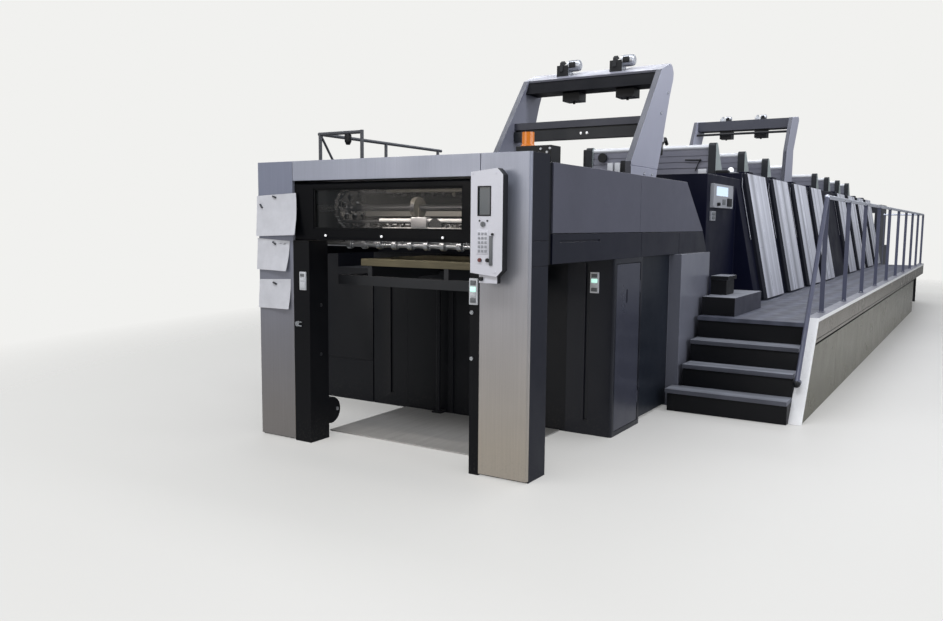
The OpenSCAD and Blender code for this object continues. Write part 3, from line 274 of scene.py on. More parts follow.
# Kerb: bright metallic sheet, the lightest line of the gallery, with a duller top that feet have worn
kerb_bright = finish("brushed_aluminium_kerb", "#ffffff", 0.4, 0.0, cloud=0.04, brush=(60, 1.2, 60),
                     brush_depth=0.05, wave=0.0015, dust=0.0)
kerb_side = finish("brushed_aluminium_kerb_flank", "#ffffff", 0.34, 0.0, cloud=0.04, brush=(60, 1.2, 60),
                   brush_depth=0.05, wave=0.001, dust=0.0, coat=0.3)
kerb_worn = finish("trodden_aluminium_kerb_top", "#85868f", 0.45, 0.4, cloud=0.07, grain=0.08, dust=0.0)
# Skirt: smooth metallic paint, warm green grey below its groove and browner above
skirt_olive = finish("metallic_paint_green_grey", "#5f5b47", 0.26, 0.0, cloud=0.03, grain=0.01, grain_mm=300,
                     smudge=0.02, dust=0.0, shine=0.25, low_colour="#504d39")
skirt_brown = finish("metallic_paint_brown_grey", "#625b4f", 0.26, 0.0, cloud=0.03, grain=0.01, grain_mm=300,
                     smudge=0.02, dust=0.0, shine=0.25)
# Steps, legs and feeder: plain dark paints with little shine
step_slate = finish("satin_paint_step_slate", "#33343f", 0.4, cloud=0.06)
support_black = finish("matt_paint_black", "#0e0f13", 0.55, shine=0.3)
feeder_dark = finish("structured_paint_feeder", "#2a2c34", 0.45, cloud=0.1, grain=0.06, foot=0.3)
# Joints in shadow, zinc plated bolts, and the moulded knobs, keys and lamps
gap_black = finish("shadow_gap_black", "#0b0c0e", 0.7, dust=0.0, shine=0.2)
bolt_steel = finish("zinc_plated_steel", "#c9ccd0", 0.28, 0.9)
knob_red = finish("turned_plastic_red", "#6f2a26", 0.35)
key_grey = finish("push_button_grey", "#6d7073", 0.4)
lamp_green = finish("lit_push_button_green", "#bfe9dc", 0.3, glow=("#b8f0e0", 0.9))
# White keys with a faint glow, which on the hook's roller and the tower's cards is painted light
key_white = finish("push_button_white", "#c9cbd0", 0.35, glow=("#ffffff", 0.05))
lamp_white = finish("lit_lens_white", "#f2f3f5", 0.3, glow=("#ffffff", 0.5))
# Displays: smooth glass over a pale lit field or a dark one, in grey frames
screen_lit = finish("lit_display_pale_blue", "#cfe2f4", 0.15, dust=0.0, coat=0.6, glow=("#cfe4f8", 0.75))
screen_dark = finish("display_glass_grey_teal", "#2c3a44", 0.2, dust=0.0, coat=0.4, cloud=0.12)
frame_grey = finish("display_frame_grey", "#8d9097", 0.4)
# Behind the glass: pale painted sheet and the grey disc on the shaft
inner_grey = finish("sprayed_sheet_inner_grey", "#d6d6d2", 0.5, cloud=0.08)
disc_grey = finish("painted_disc_grey", "#6a6963", 0.45, cloud=0.08)


def ribbed(name, colour, rib_mm, axis, rough=0.62):
    """Ribbed rubber covering. The ribs are drawn coarser than real ones, which are finer than a pixel."""
    surface, tree = new_surface(name)
    where = add(tree, "TexCoord").outputs["Object"]
    ribs = add(tree, "TexWave", {"Vector": where, "Scale": 314 / rib_mm / 10, "Distortion": 0.0},
               bands_direction=axis).outputs[1]
    wear = spread(tree, noise(tree, where, 4.0, 6.0), 0.85, 1.15)
    tone = product(tree, wear, spread(tree, ribs, 0.82, 1.1, 0.1, 0.9))
    paint = add(tree, "VectorMath", {0: rgb(colour)[:3], "Scale": tone}, operation="SCALE").outputs[0]
    shine = spread(tree, noise(tree, where, 7.0, 4.0), rough - 0.12, rough + 0.1)
    shader = add(tree, "BsdfPrincipled", {"Base Color": paint, "Roughness": shine})
    bumped = add(tree, "Bump", {"Height": ribs, "Strength": 0.5, "Distance": 0.002}).outputs[0]
    tree.links.new(bumped, shader.inputs["Normal"])
    add(tree, "OutputMaterial", {"Surface": shader.outputs[0]})
    return surface


floor_rubber = ribbed("ribbed_rubber_matting", "#535664", 20, "X")
tread_rubber = ribbed("ribbed_rubber_treads", "#8a8d96", 16, "Y")
nosing_grey = ribbed("ribbed_rubber_nosing", "#555761", 12, "Z")


def board_wood():
    """Pressed board: warm beige with long fibres, darker bruises and a dull skin."""
    surface, tree = new_surface("pressed_fibre_board")
    where = add(tree, "TexCoord").outputs["Object"]
    fibres = noise(tree, where, 1.0, 5.0, (6, 160, 160))
    bruises = noise(tree, where, 6.0, 5.0)
    tone = product(tree, spread(tree, fibres, 0.8, 1.18), spread(tree, bruises, 0.82, 1.1))
    paint = add(tree, "VectorMath", {0: rgb("#5f5944")[:3], "Scale": tone}, operation="SCALE").outputs[0]
    shader = add(tree, "BsdfPrincipled", {"Base Color": paint, "Roughness": 0.68})
    bumped = add(tree, "Bump", {"Height": fibres, "Strength": 0.3, "Distance": 0.001}).outputs[0]
    tree.links.new(bumped, shader.inputs["Normal"])
    add(tree, "OutputMaterial", {"Surface": shader.outputs[0]})
    return surface


board_beige = board_wood()
# Sides and lower edge of the board: a dark painted shade
board_edge_painted_shade = finish("pressed_board_edges_painted_shade", "#2b281e", 0.6, cloud=0.15, grain=0.12)


def safety_glass():
    """Clear sheet: lets the drive show through, with a grey film and a mirror-like skin."""
    surface, tree = new_surface("float_glass_clear")
    where = add(tree, "TexCoord").outputs["Object"]
    film = spread(tree, noise(tree, where, 2.2, 5.0), 0.005, 0.03)
    through = add(tree, "BsdfTransparent", {"Color": rgb("#e8e6e4")})
    haze = add(tree, "BsdfDiffuse", {"Color": rgb("#8f979b")})
    skin = add(tree, "BsdfGlossy", {"Color": rgb("#ffffff"), "Roughness": 0.04})
    veiled = add(tree, "MixShader", {0: film, 1: through.outputs[0], 2: haze.outputs[0]})
    mirror = product(tree, add(tree, "Fresnel", {"IOR": 1.5}).outputs[0], 0.1)
    whole = add(tree, "MixShader", {0: mirror, 1: veiled.outputs[0], 2: skin.outputs[0]})
    add(tree, "OutputMaterial", {"Surface": whole.outputs[0]})
    return surface


glass_clear = safety_glass()


def paper_white():
    """Copy paper: off white, with faint creases that catch the light."""
    surface, tree = new_surface("copy_paper_creased")
    where = add(tree, "TexCoord").outputs["Object"]
    creases = noise(tree, where, 14.0, 3.0)
    tone = spread(tree, creases, 0.94, 1.04)
    paint = add(tree, "VectorMath", {0: rgb("#d9dae0")[:3], "Scale": tone}, operation="SCALE").outputs[0]
    shader = add(tree, "BsdfPrincipled", {"Base Color": paint, "Roughness": 0.85})
    bumped = add(tree, "Bump", {"Height": creases, "Strength": 0.6, "Distance": 0.003}).outputs[0]
    tree.links.new(bumped, shader.inputs["Normal"])
    add(tree, "OutputMaterial", {"Surface": shader.outputs[0]})
    return surface


paper = paper_white()


# Makers of pieces

def piece(name, bm, surfaces, body="press", bevel=0.0, smooth=30, replaces=()):
    """Turns a finished bmesh into a piece that rides a body."""
    bmesh.ops.recalc_face_normals(bm, faces=bm.faces[:])
    mesh = bpy.data.meshes.new(name)
    bm.to_mesh(mesh)
    bm.free()
    mesh.shade_smooth()
    mesh.set_sharp_from_angle(angle=math.radians(smooth))
    made = bpy.data.objects.new(name, mesh)
    bpy.context.scene.collection.objects.link(made)
    for surface in surfaces if isinstance(surfaces, (list, tuple)) else [surfaces]:
        mesh.materials.append(surface)
    if bevel:
        rounding = made.modifiers.new("edge_rounding", "BEVEL")
        rounding.width = bevel
        rounding.segments = 2
        rounding.limit_method = "ANGLE"
        rounding.angle_limit = math.radians(32)
        rounding.harden_normals = True
    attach(made, body)
    if replaces:
        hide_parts(*replaces)
    return made


BODY_OF = {"window_guard": "guard", "pile_carrier": "pile_lift", "pile_board": "pile_lift"}


def dress(node, surfaces, bevel=0.004, pick=None, smooth=30):
    """Shows a CAD node with rounded edges; pick chooses a face's surface from its middle and its normal.
    Faces that meet at less than smooth degrees are shaded as one."""
    bm = bmesh.new()
    bm.from_mesh(nodes[node].data)
    bmesh.ops.remove_doubles(bm, verts=bm.verts[:], dist=0.0002)
    bmesh.ops.dissolve_limit(bm, angle_limit=math.radians(0.6), verts=bm.verts[:], edges=bm.edges[:])
    bmesh.ops.recalc_face_normals(bm, faces=bm.faces[:])
    for face in bm.faces:
        middle = face.calc_center_median() - at(0, 0, 0)
        face.material_index = pick(middle, face.normal) if pick else 0
    return piece(node + "_finish", bm, surfaces, BODY_OF.get(node, "press"), bevel, smooth,
                 replaces=(node,))


def keep(node, surface):
    """Shows a CAD node as it is, in a better material."""
    for i in range(len(nodes[node].data.materials)):
        nodes[node].data.materials[i] = surface


def box(bm, x, y, z, bevel=0.0, surface=0):
    """A box between two values on each axis."""
    low, high = at(x[0], y[0], z[0]), at(x[1], y[1], z[1])
    size = high - low
    place = Matrix.Translation((low + high) / 2) @ Matrix.Diagonal((*size, 1))
    made = bmesh.ops.create_cube(bm, size=1.0, matrix=place)["verts"]
    shaped(bm, made, bevel, surface)


def edges_of(verts):
    """The edges at some points, each once and in the points' own order."""
    return list(dict.fromkeys(edge for vert in verts for edge in vert.link_edges))


def shaped(bm, verts, bevel, surface):
    """Gives a new shape its surface and rounds its edges."""
    for vert in verts:
        for face in vert.link_faces:
            face.material_index = surface
    if bevel:
        edges = edges_of(verts)
        bmesh.ops.bevel(bm, geom=edges, offset=bevel, offset_type="OFFSET", segments=2, profile=0.5,
                        affect="EDGES", material=-1)


def rod(bm, a, b, radius, sides=20, surface=0, end=None):
    """A round bar from a to b, tapering to end where that is given."""
    run = b - a
    place = Matrix.Translation((a + b) / 2) @ run.to_track_quat("Z", "Y").to_matrix().to_4x4()
    end = radius if end is None else end
    made = bmesh.ops.create_cone(bm, cap_ends=True, segments=sides, radius1=radius, radius2=end,
                                 depth=run.length, matrix=place)["verts"]
    shaped(bm, made, 0.0, surface)


def ball(bm, centre, radius, surface=0, rows=10, squash=(1, 1, 1)):
    place = Matrix.Translation(centre) @ Matrix.Diagonal((*squash, 1))
    made = bmesh.ops.create_uvsphere(bm, u_segments=rows * 2, v_segments=rows, radius=radius,
                                     matrix=place)["verts"]
    shaped(bm, made, 0.0, surface)


def mirrored(bm):
    """Adds the same shapes on the drive side."""
    bmesh.ops.mirror(bm, geom=bm.verts[:] + bm.edges[:] + bm.faces[:], axis="X", merge_dist=0.0,
                     matrix=Matrix.Identity(4))


# Delivery portal

# Where the chain's links, the disc on the shaft and the ends of the bars lie
WHEEL_X = 0.72
LINK_NEAR, LINK_FAR = 0.0149, 0.0295
DISC_LEFT, DISC_RIGHT, DISC_FRONT = -0.066, 0.006, 0.44
BARS_END = 0.66
# Where the portal's navy sides begin, and where the painted shade on its left column and under the board
# begins
PORTAL_SIDE, LEFT_COLUMN, BOARD_UNDERSIDE = 1.2, -0.86, 1.405


def drive_surface(p, n):
    """Chain links blued, the disc on the shaft painted, the shaft and bars dark, wheels and pins bright."""
    if LINK_NEAR < abs(abs(p.x) - WHEEL_X) < LINK_FAR:
        return 1
    if DISC_LEFT < p.x < DISC_RIGHT and p.y > DISC_FRONT:
        return 2
    return 3 if abs(p.x) < BARS_END else 0


dress("delivery_frame", [powder_black, side_navy], 0.004, lambda p, n: 1 if abs(p.x) > PORTAL_SIDE else 0)
# The left column takes the sheet with painted shade
dress("front_panels", [front_grey, front_grey_painted_shade], 0.002, lambda p, n: 1 if p.x < LEFT_COLUMN else 0)
dress("window_guard", guard_black, 0.003)
keep("guard_glass", glass_clear)
dress("chain_shaft", [chain_steel, link_steel, disc_grey, shaft_blued], 0.0, drive_surface)
keep("sheet_brake", brake_steel)
dress("pile_carrier", carrier_grey, 0.003)
dress("pile_board", [board_beige, board_edge_painted_shade], 0.004,
      lambda p, n: 1 if n.z < 0.5 and (p.z < BOARD_UNDERSIDE or abs(n.x) > 0.5) else 0)
dress("pile_floor_plate", floor_steel, 0.002)
dress("pile_rear_wall", bay_black, 0.003)

# Delivery housing

# Where the black blue cover ends, and where the control panel's housing, screen and knobs lie
BLACK_COVER_END = 2.92
HOUSING_FRONT = -0.095
SCREEN_FRONT, SCREEN_BACK = -0.1215, -0.119
KNOBS_FRONT, KNOBS_PART = -0.1255, 0.96


def panel_surface(p, n):
    """Control panel: white cover, dark housing behind it, screen and knobs."""
    if n.x > 0.8 or p.y > HOUSING_FRONT:
        return 1
    if SCREEN_FRONT < p.y < SCREEN_BACK and abs(n.y) > 0.9:
        return 2
    if p.y < KNOBS_FRONT:
        return 3 if p.x < KNOBS_PART else 1
    return 0


dress("delivery_hood", bay_black, 0.003)
dress("delivery_body", body_dark, 0.004)
dress("side_cabinets", [cabinet_dark, bay_black], 0.004, lambda p, n: 1 if p.x < 0 and n.y < -0.5 else 0)
keep("cabinet_door", door_grey)
dress("lower_side_covers", [rear_grey, cover_teal], 0.004,
      lambda p, n: 1 if p.y < BLACK_COVER_END and abs(n.x) > 0.5 else 0)
dress("side_bands", band_dark, 0.003)
dress("upper_side_panels", flank_grey, 0.004)
dress("control_panel", [panel_white, box_black, screen_dark, knob_red], 0.004, panel_surface)
dress("beacon_box", box_black, 0.004)
dress("warning_beacon", beacon_orange, 0.004)
keep("roof_rail", roof_rail_dark)

# Arches, units and feeder

UNIT_TOP = 2.36


def unit_front(i):
    """How far back from the delivery's front face a printing unit starts."""
    unit = nodes[f"printing_unit_{i}"]
    return min((unit.matrix_world @ v.co).y for v in unit.data.vertices) - FRONT_Y


UNIT_FRONTS = [unit_front(i) for i in range(1, 9)]
# Between the two arches, and where their beams and motors lie
ARCHES_PART = 5
LOWER_BAR_TOP, LOWER_BAR_SPLIT = 2.825, 2.745
REAR_BEAM_LOW, REAR_BEAM_HIGH = 3.379, 3.541
# Each arch's motors start at the first height; its gear cases reach from the second to the third
FRONT_MOTORS, REAR_MOTORS = (3.415, 3.05, 3.168), (3.542, 3.2, 3.378)
MOTOR_PITCH, MOTOR_START = 0.625, 0.415
YOKE_NEAR, YOKE_FAR = 0.01, 0.062
# The front arch's cap, the tower fins, the covers' strips, the display's face and the rollers' lower edge
CAP_HALF = 0.6
FIN_INNER, FIN_OUTER = 0.76, 0.87
STRIP_DEPTH = 0.03
DISPLAY_NEAR, DISPLAY_FAR = 1.2255, 1.2265
ROLLERS_LOW = UNIT_TOP + 0.301


def hoist_surface(p, n):
    """Beams navy, the lower bar slate above and graphite below; motors bare aluminium, their yokes black."""
    front = p.y < ARCHES_PART
    if front and p.z < LOWER_BAR_TOP:
        return 3 if p.z > LOWER_BAR_SPLIT else 4
    if p.y > ARCHES_PART and REAR_BEAM_LOW < p.z < REAR_BEAM_HIGH and abs(n.z) < 0.5:
        return 3
    motors_low, cases_low, cases_high = FRONT_MOTORS if front else REAR_MOTORS
    if p.z > motors_low:
        return 2 if YOKE_NEAR < (p.x + MOTOR_START) % MOTOR_PITCH < YOKE_FAR and front else 1
    return 2 if cases_low < p.z < cases_high else 0


def unit_surface(p, n):
    """Units dark; the tower fins graphite in front and grey green on their sides."""
    if p.z > UNIT_TOP + 0.01 and FIN_INNER < abs(p.x) < FIN_OUTER:
        return 1 if abs(n.x) > 0.5 else 2
    return 0


def cover_surface(p, n):
    """Covers silver; shade painted on the bevel towards the delivery and gap faces, lit on far bevel and
    strips.
    """
    if abs(n.y) > 0.8:
        return 2
    if any(0 < p.y - start < STRIP_DEPTH for start in UNIT_FRONTS):
        return 1
    if n.y < -0.2:
        return 2
    return 1 if n.y > 0.2 else 0


dress("hoist_arch_front", [arch_grey, cap_pale, arch_edge, arch_inner_painted_shade], 0.008,
      lambda p, n: 1 if abs(p.x) < CAP_HALF else 2 if n.y < -0.3 else 3 if p.x * n.x < -0.3 else 0)
dress("hoist_arch_rear", [arch_grey, arch_edge], 0.008, lambda p, n: 1 if n.y < -0.3 else 0)
dress("hoist_beams", [beam_navy, motor_silver, box_black, arch_edge, fin_dark], 0.004, hoist_surface)
dress("coating_unit", unit_dark, 0.006)
dress("unit_display", [panel_grey, screen_lit], 0.004,
      lambda p, n: 1 if DISPLAY_NEAR < abs(p.x) < DISPLAY_FAR and abs(n.x) > 0.9 else 0)
for i in range(1, 9):
    dress(f"printing_unit_{i}", [unit_dark, fin_green, fin_dark], 0.004, unit_surface)
dress("perfecting_unit", unit_dark, 0.005)
dress("unit_covers", [cover_silver, cover_light, cover_shade], 0.0012, cover_surface, 12)
dress("unit_rollers", [tower_slate, roller_steel], 0.003, lambda p, n: 1 if p.z > ROLLERS_LOW else 0)
dress("feeder_frame", feeder_dark, 0.006)
dress("feeder_head", feeder_dark, 0.006)

# Gallery

# Heights where the stair gives way to the two upper steps, their slate sides end, and the handrail begins
STAIR_TOP, SLATE_TOP, HANDRAIL_LOW = 0.85, 1.1, 1.97
# The skirt's groove: its floor lies further in than the first value; then a height below it and its middle
GROOVE_IN, BELOW_GROOVE, GROOVE_MIDDLE = 2.445, 0.6, 0.65


def step_surface(p, n):
    """Treads light on top; the two upper steps black in front and slate on their sides."""
    if abs(n.z) > 0.5:
        return 0
    if p.z < STAIR_TOP:
        return 1
    return 3 if abs(n.x) > 0.5 and p.z < SLATE_TOP else 2


def skirt_surface(p, n):
    """Skirt olive below its groove and browner above; the groove in shadow."""
    if abs(p.x) < GROOVE_IN and abs(n.x) > 0.5 or abs(n.z) > 0.9 and p.z > BELOW_GROOVE:
        return 2
    return 1 if p.z > GROOVE_MIDDLE else 0


dress("gallery_floors", floor_rubber, 0.003)
dress("gallery_kerbs", [kerb_bright, kerb_worn, kerb_side], 0.005,
      lambda p, n: 1 if n.z > 0.9 else 2 if abs(n.x) > 0.5 else 0)
dress("gallery_skirts", [skirt_olive, skirt_brown, gap_black], 0.002, skirt_surface)
dress("gallery_rails", [rail_slate, rail_bright], 0.002, lambda p, n: 1 if p.z > HANDRAIL_LOW else 0)
dress("gallery_supports", support_black, 0.003)
dress("stair_treads", [tread_rubber, nosing_grey, support_black, step_slate], 0.004, step_surface)


# Fittings of the delivery's front

def hex_bolt(bm, place, facing, radius, surface=0):
    """A washer under a hexagon head with a chamfered crown."""
    out = Vector(facing)
    rod(bm, place, place + out * radius * 0.3, radius * 1.5, 20, surface)
    rod(bm, place + out * radius * 0.3, place + out * radius * 0.85, radius, 6, surface)
    rod(bm, place + out * radius * 0.85, place + out * radius * 1.05, radius, 6, surface, end=radius * 0.78)


def paper_sheet(name, corners, lift):
    """A sheet hung by its upper edge. Corners run from upper left, clockwise; the foot stands off by lift."""
    bm = bmesh.new()
    bmesh.ops.create_grid(bm, x_segments=14, y_segments=14, size=0.5)
    a, b, c, d = (Vector(p) for p in corners)
    for v in bm.verts:
        u, t = v.co.x + 0.5, 0.5 - v.co.y
        spot = (a.lerp(b, u)).lerp(d.lerp(c, u), t)
        off = 0.003 + lift * t ** 2.2 * (0.35 + 0.65 * u) + 0.004 * math.sin(5 * u + 3 * t) * t
        v.co = at(spot.x, -off, spot.y)
    bmesh.ops.solidify(bm, geom=bm.faces[:], thickness=0.0006)
    piece(name, bm, paper, smooth=50)


paper_sheet("shift_sheet_upper", [(-1.236, 1.938), (-0.815, 1.957), (-0.789, 1.634), (-1.235, 1.619)], 0.045)
paper_sheet("shift_sheet_middle", [(-1.235, 1.603), (-0.885, 1.586), (-0.9, 1.35), (-1.238, 1.354)], 0.03)
paper_sheet("shift_sheet_lower", [(-1.221, 1.274), (-0.88, 1.288), (-0.885, 1.051), (-1.227, 1.046)], 0.022)


def paper_magnets():
    """Dark bar magnets that hold the sheets."""
    bm = bmesh.new()
    for x, z, tilt in [(-1.039, 1.928, -0.008), (-1.184, 1.858, -0.03), (-1.047, 1.567, -0.016),
                       (-1.049, 1.249, -0.01)]:
        along = Vector((0.026, 0, tilt)).normalized() * 0.014
        middle = at(x, -0.01, z)
        rod(bm, middle - along, middle + along, 0.007, 12)
        ball(bm, middle - along, 0.008, rows=6)
        ball(bm, middle + along, 0.008, rows=6)
    piece("paper_magnets", bm, link_steel)


paper_magnets()


def push_switch(name, x, y, z, keys):
    """A switch plate on a face towards the delivery, its keys given as lower edge, upper edge and surface."""
    bm = bmesh.new()
    box(bm, x, (y - 0.014, y + 0.001), z, 0.003, 0)
    tall = z[1] - z[0]
    for low, high, surface in keys:
        box(bm, (x[0] + 0.012, x[1] - 0.012), (y - 0.02, y - 0.012), (z[0] + low * tall, z[0] + high * tall),
            0.0025, surface)
    piece(name, bm, [key_white, lamp_green, key_grey])


THREE_KEYS = [(0.1, 0.44, 0), (0.5, 0.68, 0), (0.74, 0.9, 2)]
FOUR_KEYS = [(0.08, 0.26, 2), (0.31, 0.46, 0), (0.5, 0.68, 1), (0.74, 0.92, 2)]
push_switch("post_switch", (-0.781, -0.718), 0.002, (1.208, 1.35), THREE_KEYS)
push_switch("column_switch", (0.777, 0.843), 0.002, (1.185, 1.365), FOUR_KEYS)
push_switch("cabinet_switch", (1.023, 1.098), 1.46, (1.18, 1.35), FOUR_KEYS)


def post_fittings():
    """Locks, handle and bolts on the posts beside the pile."""
    bm = bmesh.new()
    for z in (0.925, 0.955):
        rod(bm, at(-0.819, -0.006, z), at(-0.766, -0.006, z), 0.006, 12)
    rod(bm, at(-0.812, 0.004, 0.94), at(-0.812, -0.012, 0.94), 0.02)
    for z in (1.131, 0.813):
        rod(bm, at(0.795, 0.003, z), at(0.795, -0.006, z), 0.014, 20)
        rod(bm, at(0.795, -0.005, z), at(0.795, -0.011, z), 0.008, 6)
    for y, z in [(0.131, 1.084), (0.125, 0.694)]:
        hex_bolt(bm, at(-0.689, y, z), (1, 0, 0), 0.01, 1)
    rod(bm, at(-0.69, 0.31, 0.22), at(-0.684, 0.31, 0.22), 0.016)
    piece("post_fittings", bm, [bolt_steel, link_steel])


post_fittings()


def guard_buttons():
    """White caps on the guard's bosses."""
    bm = bmesh.new()
    for x in (-0.525, 0.01, 0.545):
        rod(bm, at(x, 0.013, 1.634), at(x, 0.006, 1.634), 0.009, 20)
        ball(bm, at(x, 0.006, 1.634), 0.009, rows=8, squash=(1, 0.4, 1))
    piece("guard_buttons", bm, lamp_white, "guard")


guard_buttons()


def guard_trim():
    """Dark gasket round the glass, in four strips."""
    bm = bmesh.new()
    low, high = (-0.656, 0.7), (1.682, 1.988)
    for x in (low[0], low[1] - 0.012):
        box(bm, (x, x + 0.012), (0.026, 0.037), (high[0] + 0.0125, high[1] - 0.0125), 0.002)
    for z in (high[0], high[1] - 0.012):
        box(bm, low, (0.026, 0.037), (z, z + 0.012), 0.002)
    piece("guard_trim", bm, gap_black, "guard")


guard_trim()


def panel_fittings():
    """Screen frame, key field, key lock and clip of the control panel."""
    bm = bmesh.new()
    front = -0.125
    for x in ((0.909, 0.917), (1.003, 1.011)):
        box(bm, x, (front - 0.003, front + 0.002), (1.783, 1.977), 0.001, 0)
    for z in ((1.783, 1.791), (1.969, 1.977)):
        box(bm, (0.917, 1.003), (front - 0.003, front + 0.002), z, 0.001, 0)
    box(bm, (0.906, 0.992), (front - 0.003, front + 0.001), (1.535, 1.69), 0.0012, 1)
    for row in range(5):
        for column in range(3):
            x, z = 0.916 + column * 0.025, 1.547 + row * 0.028
            box(bm, (x, x + 0.017), (front - 0.006, front - 0.002), (z, z + 0.017), 0.001, 3)
    box(bm, (1.002, 1.026), (front - 0.008, front + 0.001), (1.462, 1.655), 0.003, 2)
    rod(bm, at(0.953, front + 0.001, 1.73), at(0.953, front - 0.009, 1.73), 0.017, 24, 2)
    box(bm, (0.949, 0.957), (front - 0.0115, front - 0.008), (1.715, 1.745), 0.002, 2)
    for x in (0.926, 0.985):
        rod(bm, at(x, front + 0.001, 1.752), at(x, front - 0.004, 1.752), 0.006, 12, 0)
    for x, z in [(0.872, 1.42), (0.872, 2.06), (1.045, 2.06), (1.045, 1.42)]:
        rod(bm, at(x, front + 0.001, z), at(x, front - 0.003, z), 0.007, 12, 1)
    box(bm, (0.922, 0.948), (front - 0.004, front + 0.03), (1.36, 1.384), 0.002, 0)
    piece("panel_fittings", bm, [box_black, panel_white, key_grey, panel_grey])


panel_fittings()


def window_interior():
    """Pale sheet behind the drive between sheets of painted shade; the bright rail with its rings, bracket and
    cam.
    """
    bm = bmesh.new()
    box(bm, (-1.15, 1.15), (1.25, 1.262), (1.793, 1.866), 0.002, 0)
    box(bm, (-1.15, 1.15), (1.24, 1.262), (2.0, 2.045), 0.002, 2)
    box(bm, (-1.15, 1.15), (1.255, 1.265), (1.868, 2.06), 0.002, 1)
    box(bm, (-1.15, 1.15), (1.255, 1.265), (1.6, 1.791), 0.002, 1)
    for i in range(9):
        box(bm, (-0.75 + i * 0.09, -0.69 + i * 0.09), (1.236, 1.242), (2.012, 2.034), 0.002, 1)
    piece("drive_rear_sheet", bm, [inner_grey, gap_black, carrier_grey])
    bm = bmesh.new()
    rod(bm, at(-0.3, 0.39, 1.753), at(0.66, 0.39, 1.753), 0.015, 24)
    for i in range(4):
        rod(bm, at(-0.24 + i * 0.06, 0.4, 1.722), at(-0.205 + i * 0.06, 0.4, 1.722), 0.006, 12)
    for i in range(9):
        ring = bmesh.ops.create_circle(bm, segments=16, radius=0.014, cap_ends=False,
                                       matrix=Matrix.Translation(at(0.3 + i * 0.036, 0.39, 1.712))
                                       @ Matrix.Rotation(math.pi / 2, 4, "X"))["verts"]
        band = bmesh.ops.extrude_edge_only(bm, edges=edges_of(ring))["geom"]
        moved = [g for g in band if isinstance(g, bmesh.types.BMVert)]
        bmesh.ops.translate(bm, vec=(0, 0.02, 0), verts=moved)
    box(bm, (0.015, 0.16), (0.36, 0.42), (1.7, 1.778), 0.006, 1)
    box(bm, (-0.26, 0.62), (0.372, 0.384), (1.692, 1.7), 0.002)
    piece("sheet_rail", bm, [roller_steel, motor_silver])
    bm = bmesh.new()
    rod(bm, at(0.229, 0.375, 1.706), at(0.229, 0.415, 1.706), 0.062, 32)
    piece("sheet_rail_cam", bm, link_steel)


window_interior()


def beacon_marks():
    """White lamps on the beacon's box, and the dark rings above and below the beacon's lens."""
    bm = bmesh.new()
    for x, z in [(1.069, 2.255), (1.117, 2.231), (1.14, 2.257)]:
        rod(bm, at(x, 0.451, z), at(x, 0.443, z), 0.008, 16)
    piece("beacon_marks", bm, key_white)
    bm = bmesh.new()
    for z in (2.285, 2.382):
        rod(bm, at(0.93, 0.52, z), at(0.93, 0.52, z + 0.007), 0.0475, 32)
    piece("beacon_rings", bm, box_black)


beacon_marks()


def rail_lamp():
    """Small lamp that hangs on the roof rail's end bar."""
    bm = bmesh.new()
    box(bm, (-0.84, -0.79), (0.6, 0.64), (2.395, 2.462), 0.008, 0)
    rod(bm, at(-0.815, 0.62, 2.396), at(-0.815, 0.62, 2.375), 0.026, 20, 0, end=0.016)
    piece("rail_lamp", bm, box_black)


rail_lamp()


# Fittings of the arches, units and display

def arch_fittings():
    """Bolts on the legs' outer faces and along the lower bar, and a black hook with its white roller."""
    bm = bmesh.new()
    for side in (-1, 1):
        for y, z in [(3.646, 2.88), (3.842, 3.108), (3.2, 2.24), (3.42, 2.24)]:
            hex_bolt(bm, at(side * 0.8, y, z), (side, 0, 0), 0.011)
    for x in (0.064, 0.132):
        hex_bolt(bm, at(x, 3.3, 2.68), (0, -1, 0), 0.009)
    piece("arch_bolts", bm, bolt_steel)
    bm = bmesh.new()
    box(bm, (0.745, 0.785), (3.68, 3.79), (2.46, 2.6), 0.01, 0)
    rod(bm, at(0.765, 3.77, 2.56), at(0.765, 3.9, 2.64), 0.018, 16, 0)
    rod(bm, at(0.765, 3.9, 2.64), at(0.765, 3.96, 2.59), 0.018, 16, 0)
    ball(bm, at(0.765, 3.9, 2.64), 0.02, 0, 8)
    rod(bm, at(0.74, 3.76, 2.63), at(0.79, 3.76, 2.63), 0.032, 24, 1)
    piece("arch_hook", bm, [box_black, key_white])


arch_fittings()


# Each motor's start, place back and up, and size, then its gear case's middle and lower edge
MOTORS = [(-0.32, 3.79, 3.471, 1.0, -0.25, 3.08), (0.305, 3.79, 3.471, 1.0, 0.375, 3.08),
          (-0.319, 10.18, 3.587, 0.7, -0.3, 3.24), (0.271, 10.18, 3.587, 0.7, 0.29, 3.24)]
PRESS_TOP = 3.6274


def motor_fittings():
    """Cooling ribs, end caps and terminal boxes of the hoist motors, and hooks under the gear cases."""
    bm = bmesh.new()
    for x0, y, z, k, case_x, low in MOTORS:
        for rib in range(6):
            start = x0 + (0.018 + rib * 0.016) * k
            rod(bm, at(start, y, z), at(start + 0.007 * k, y, z), min(0.062 * k, PRESS_TOP - z), 32, 0)
        rod(bm, at(x0 + 0.129 * k, y, z), at(x0 + 0.142 * k, y, z), 0.053 * k, 32, 0, end=0.042 * k)
        box(bm, (x0 + 0.03 * k, x0 + 0.1 * k), (y - 0.078 * k, y - 0.052 * k), (z - 0.03 * k, z + 0.03 * k),
            0.004, 1)
        rod(bm, at(case_x, y, low + 0.002), at(case_x, y, low - 0.022), 0.014, 16, 1)
    piece("motor_fittings", bm, [motor_silver, box_black])


motor_fittings()


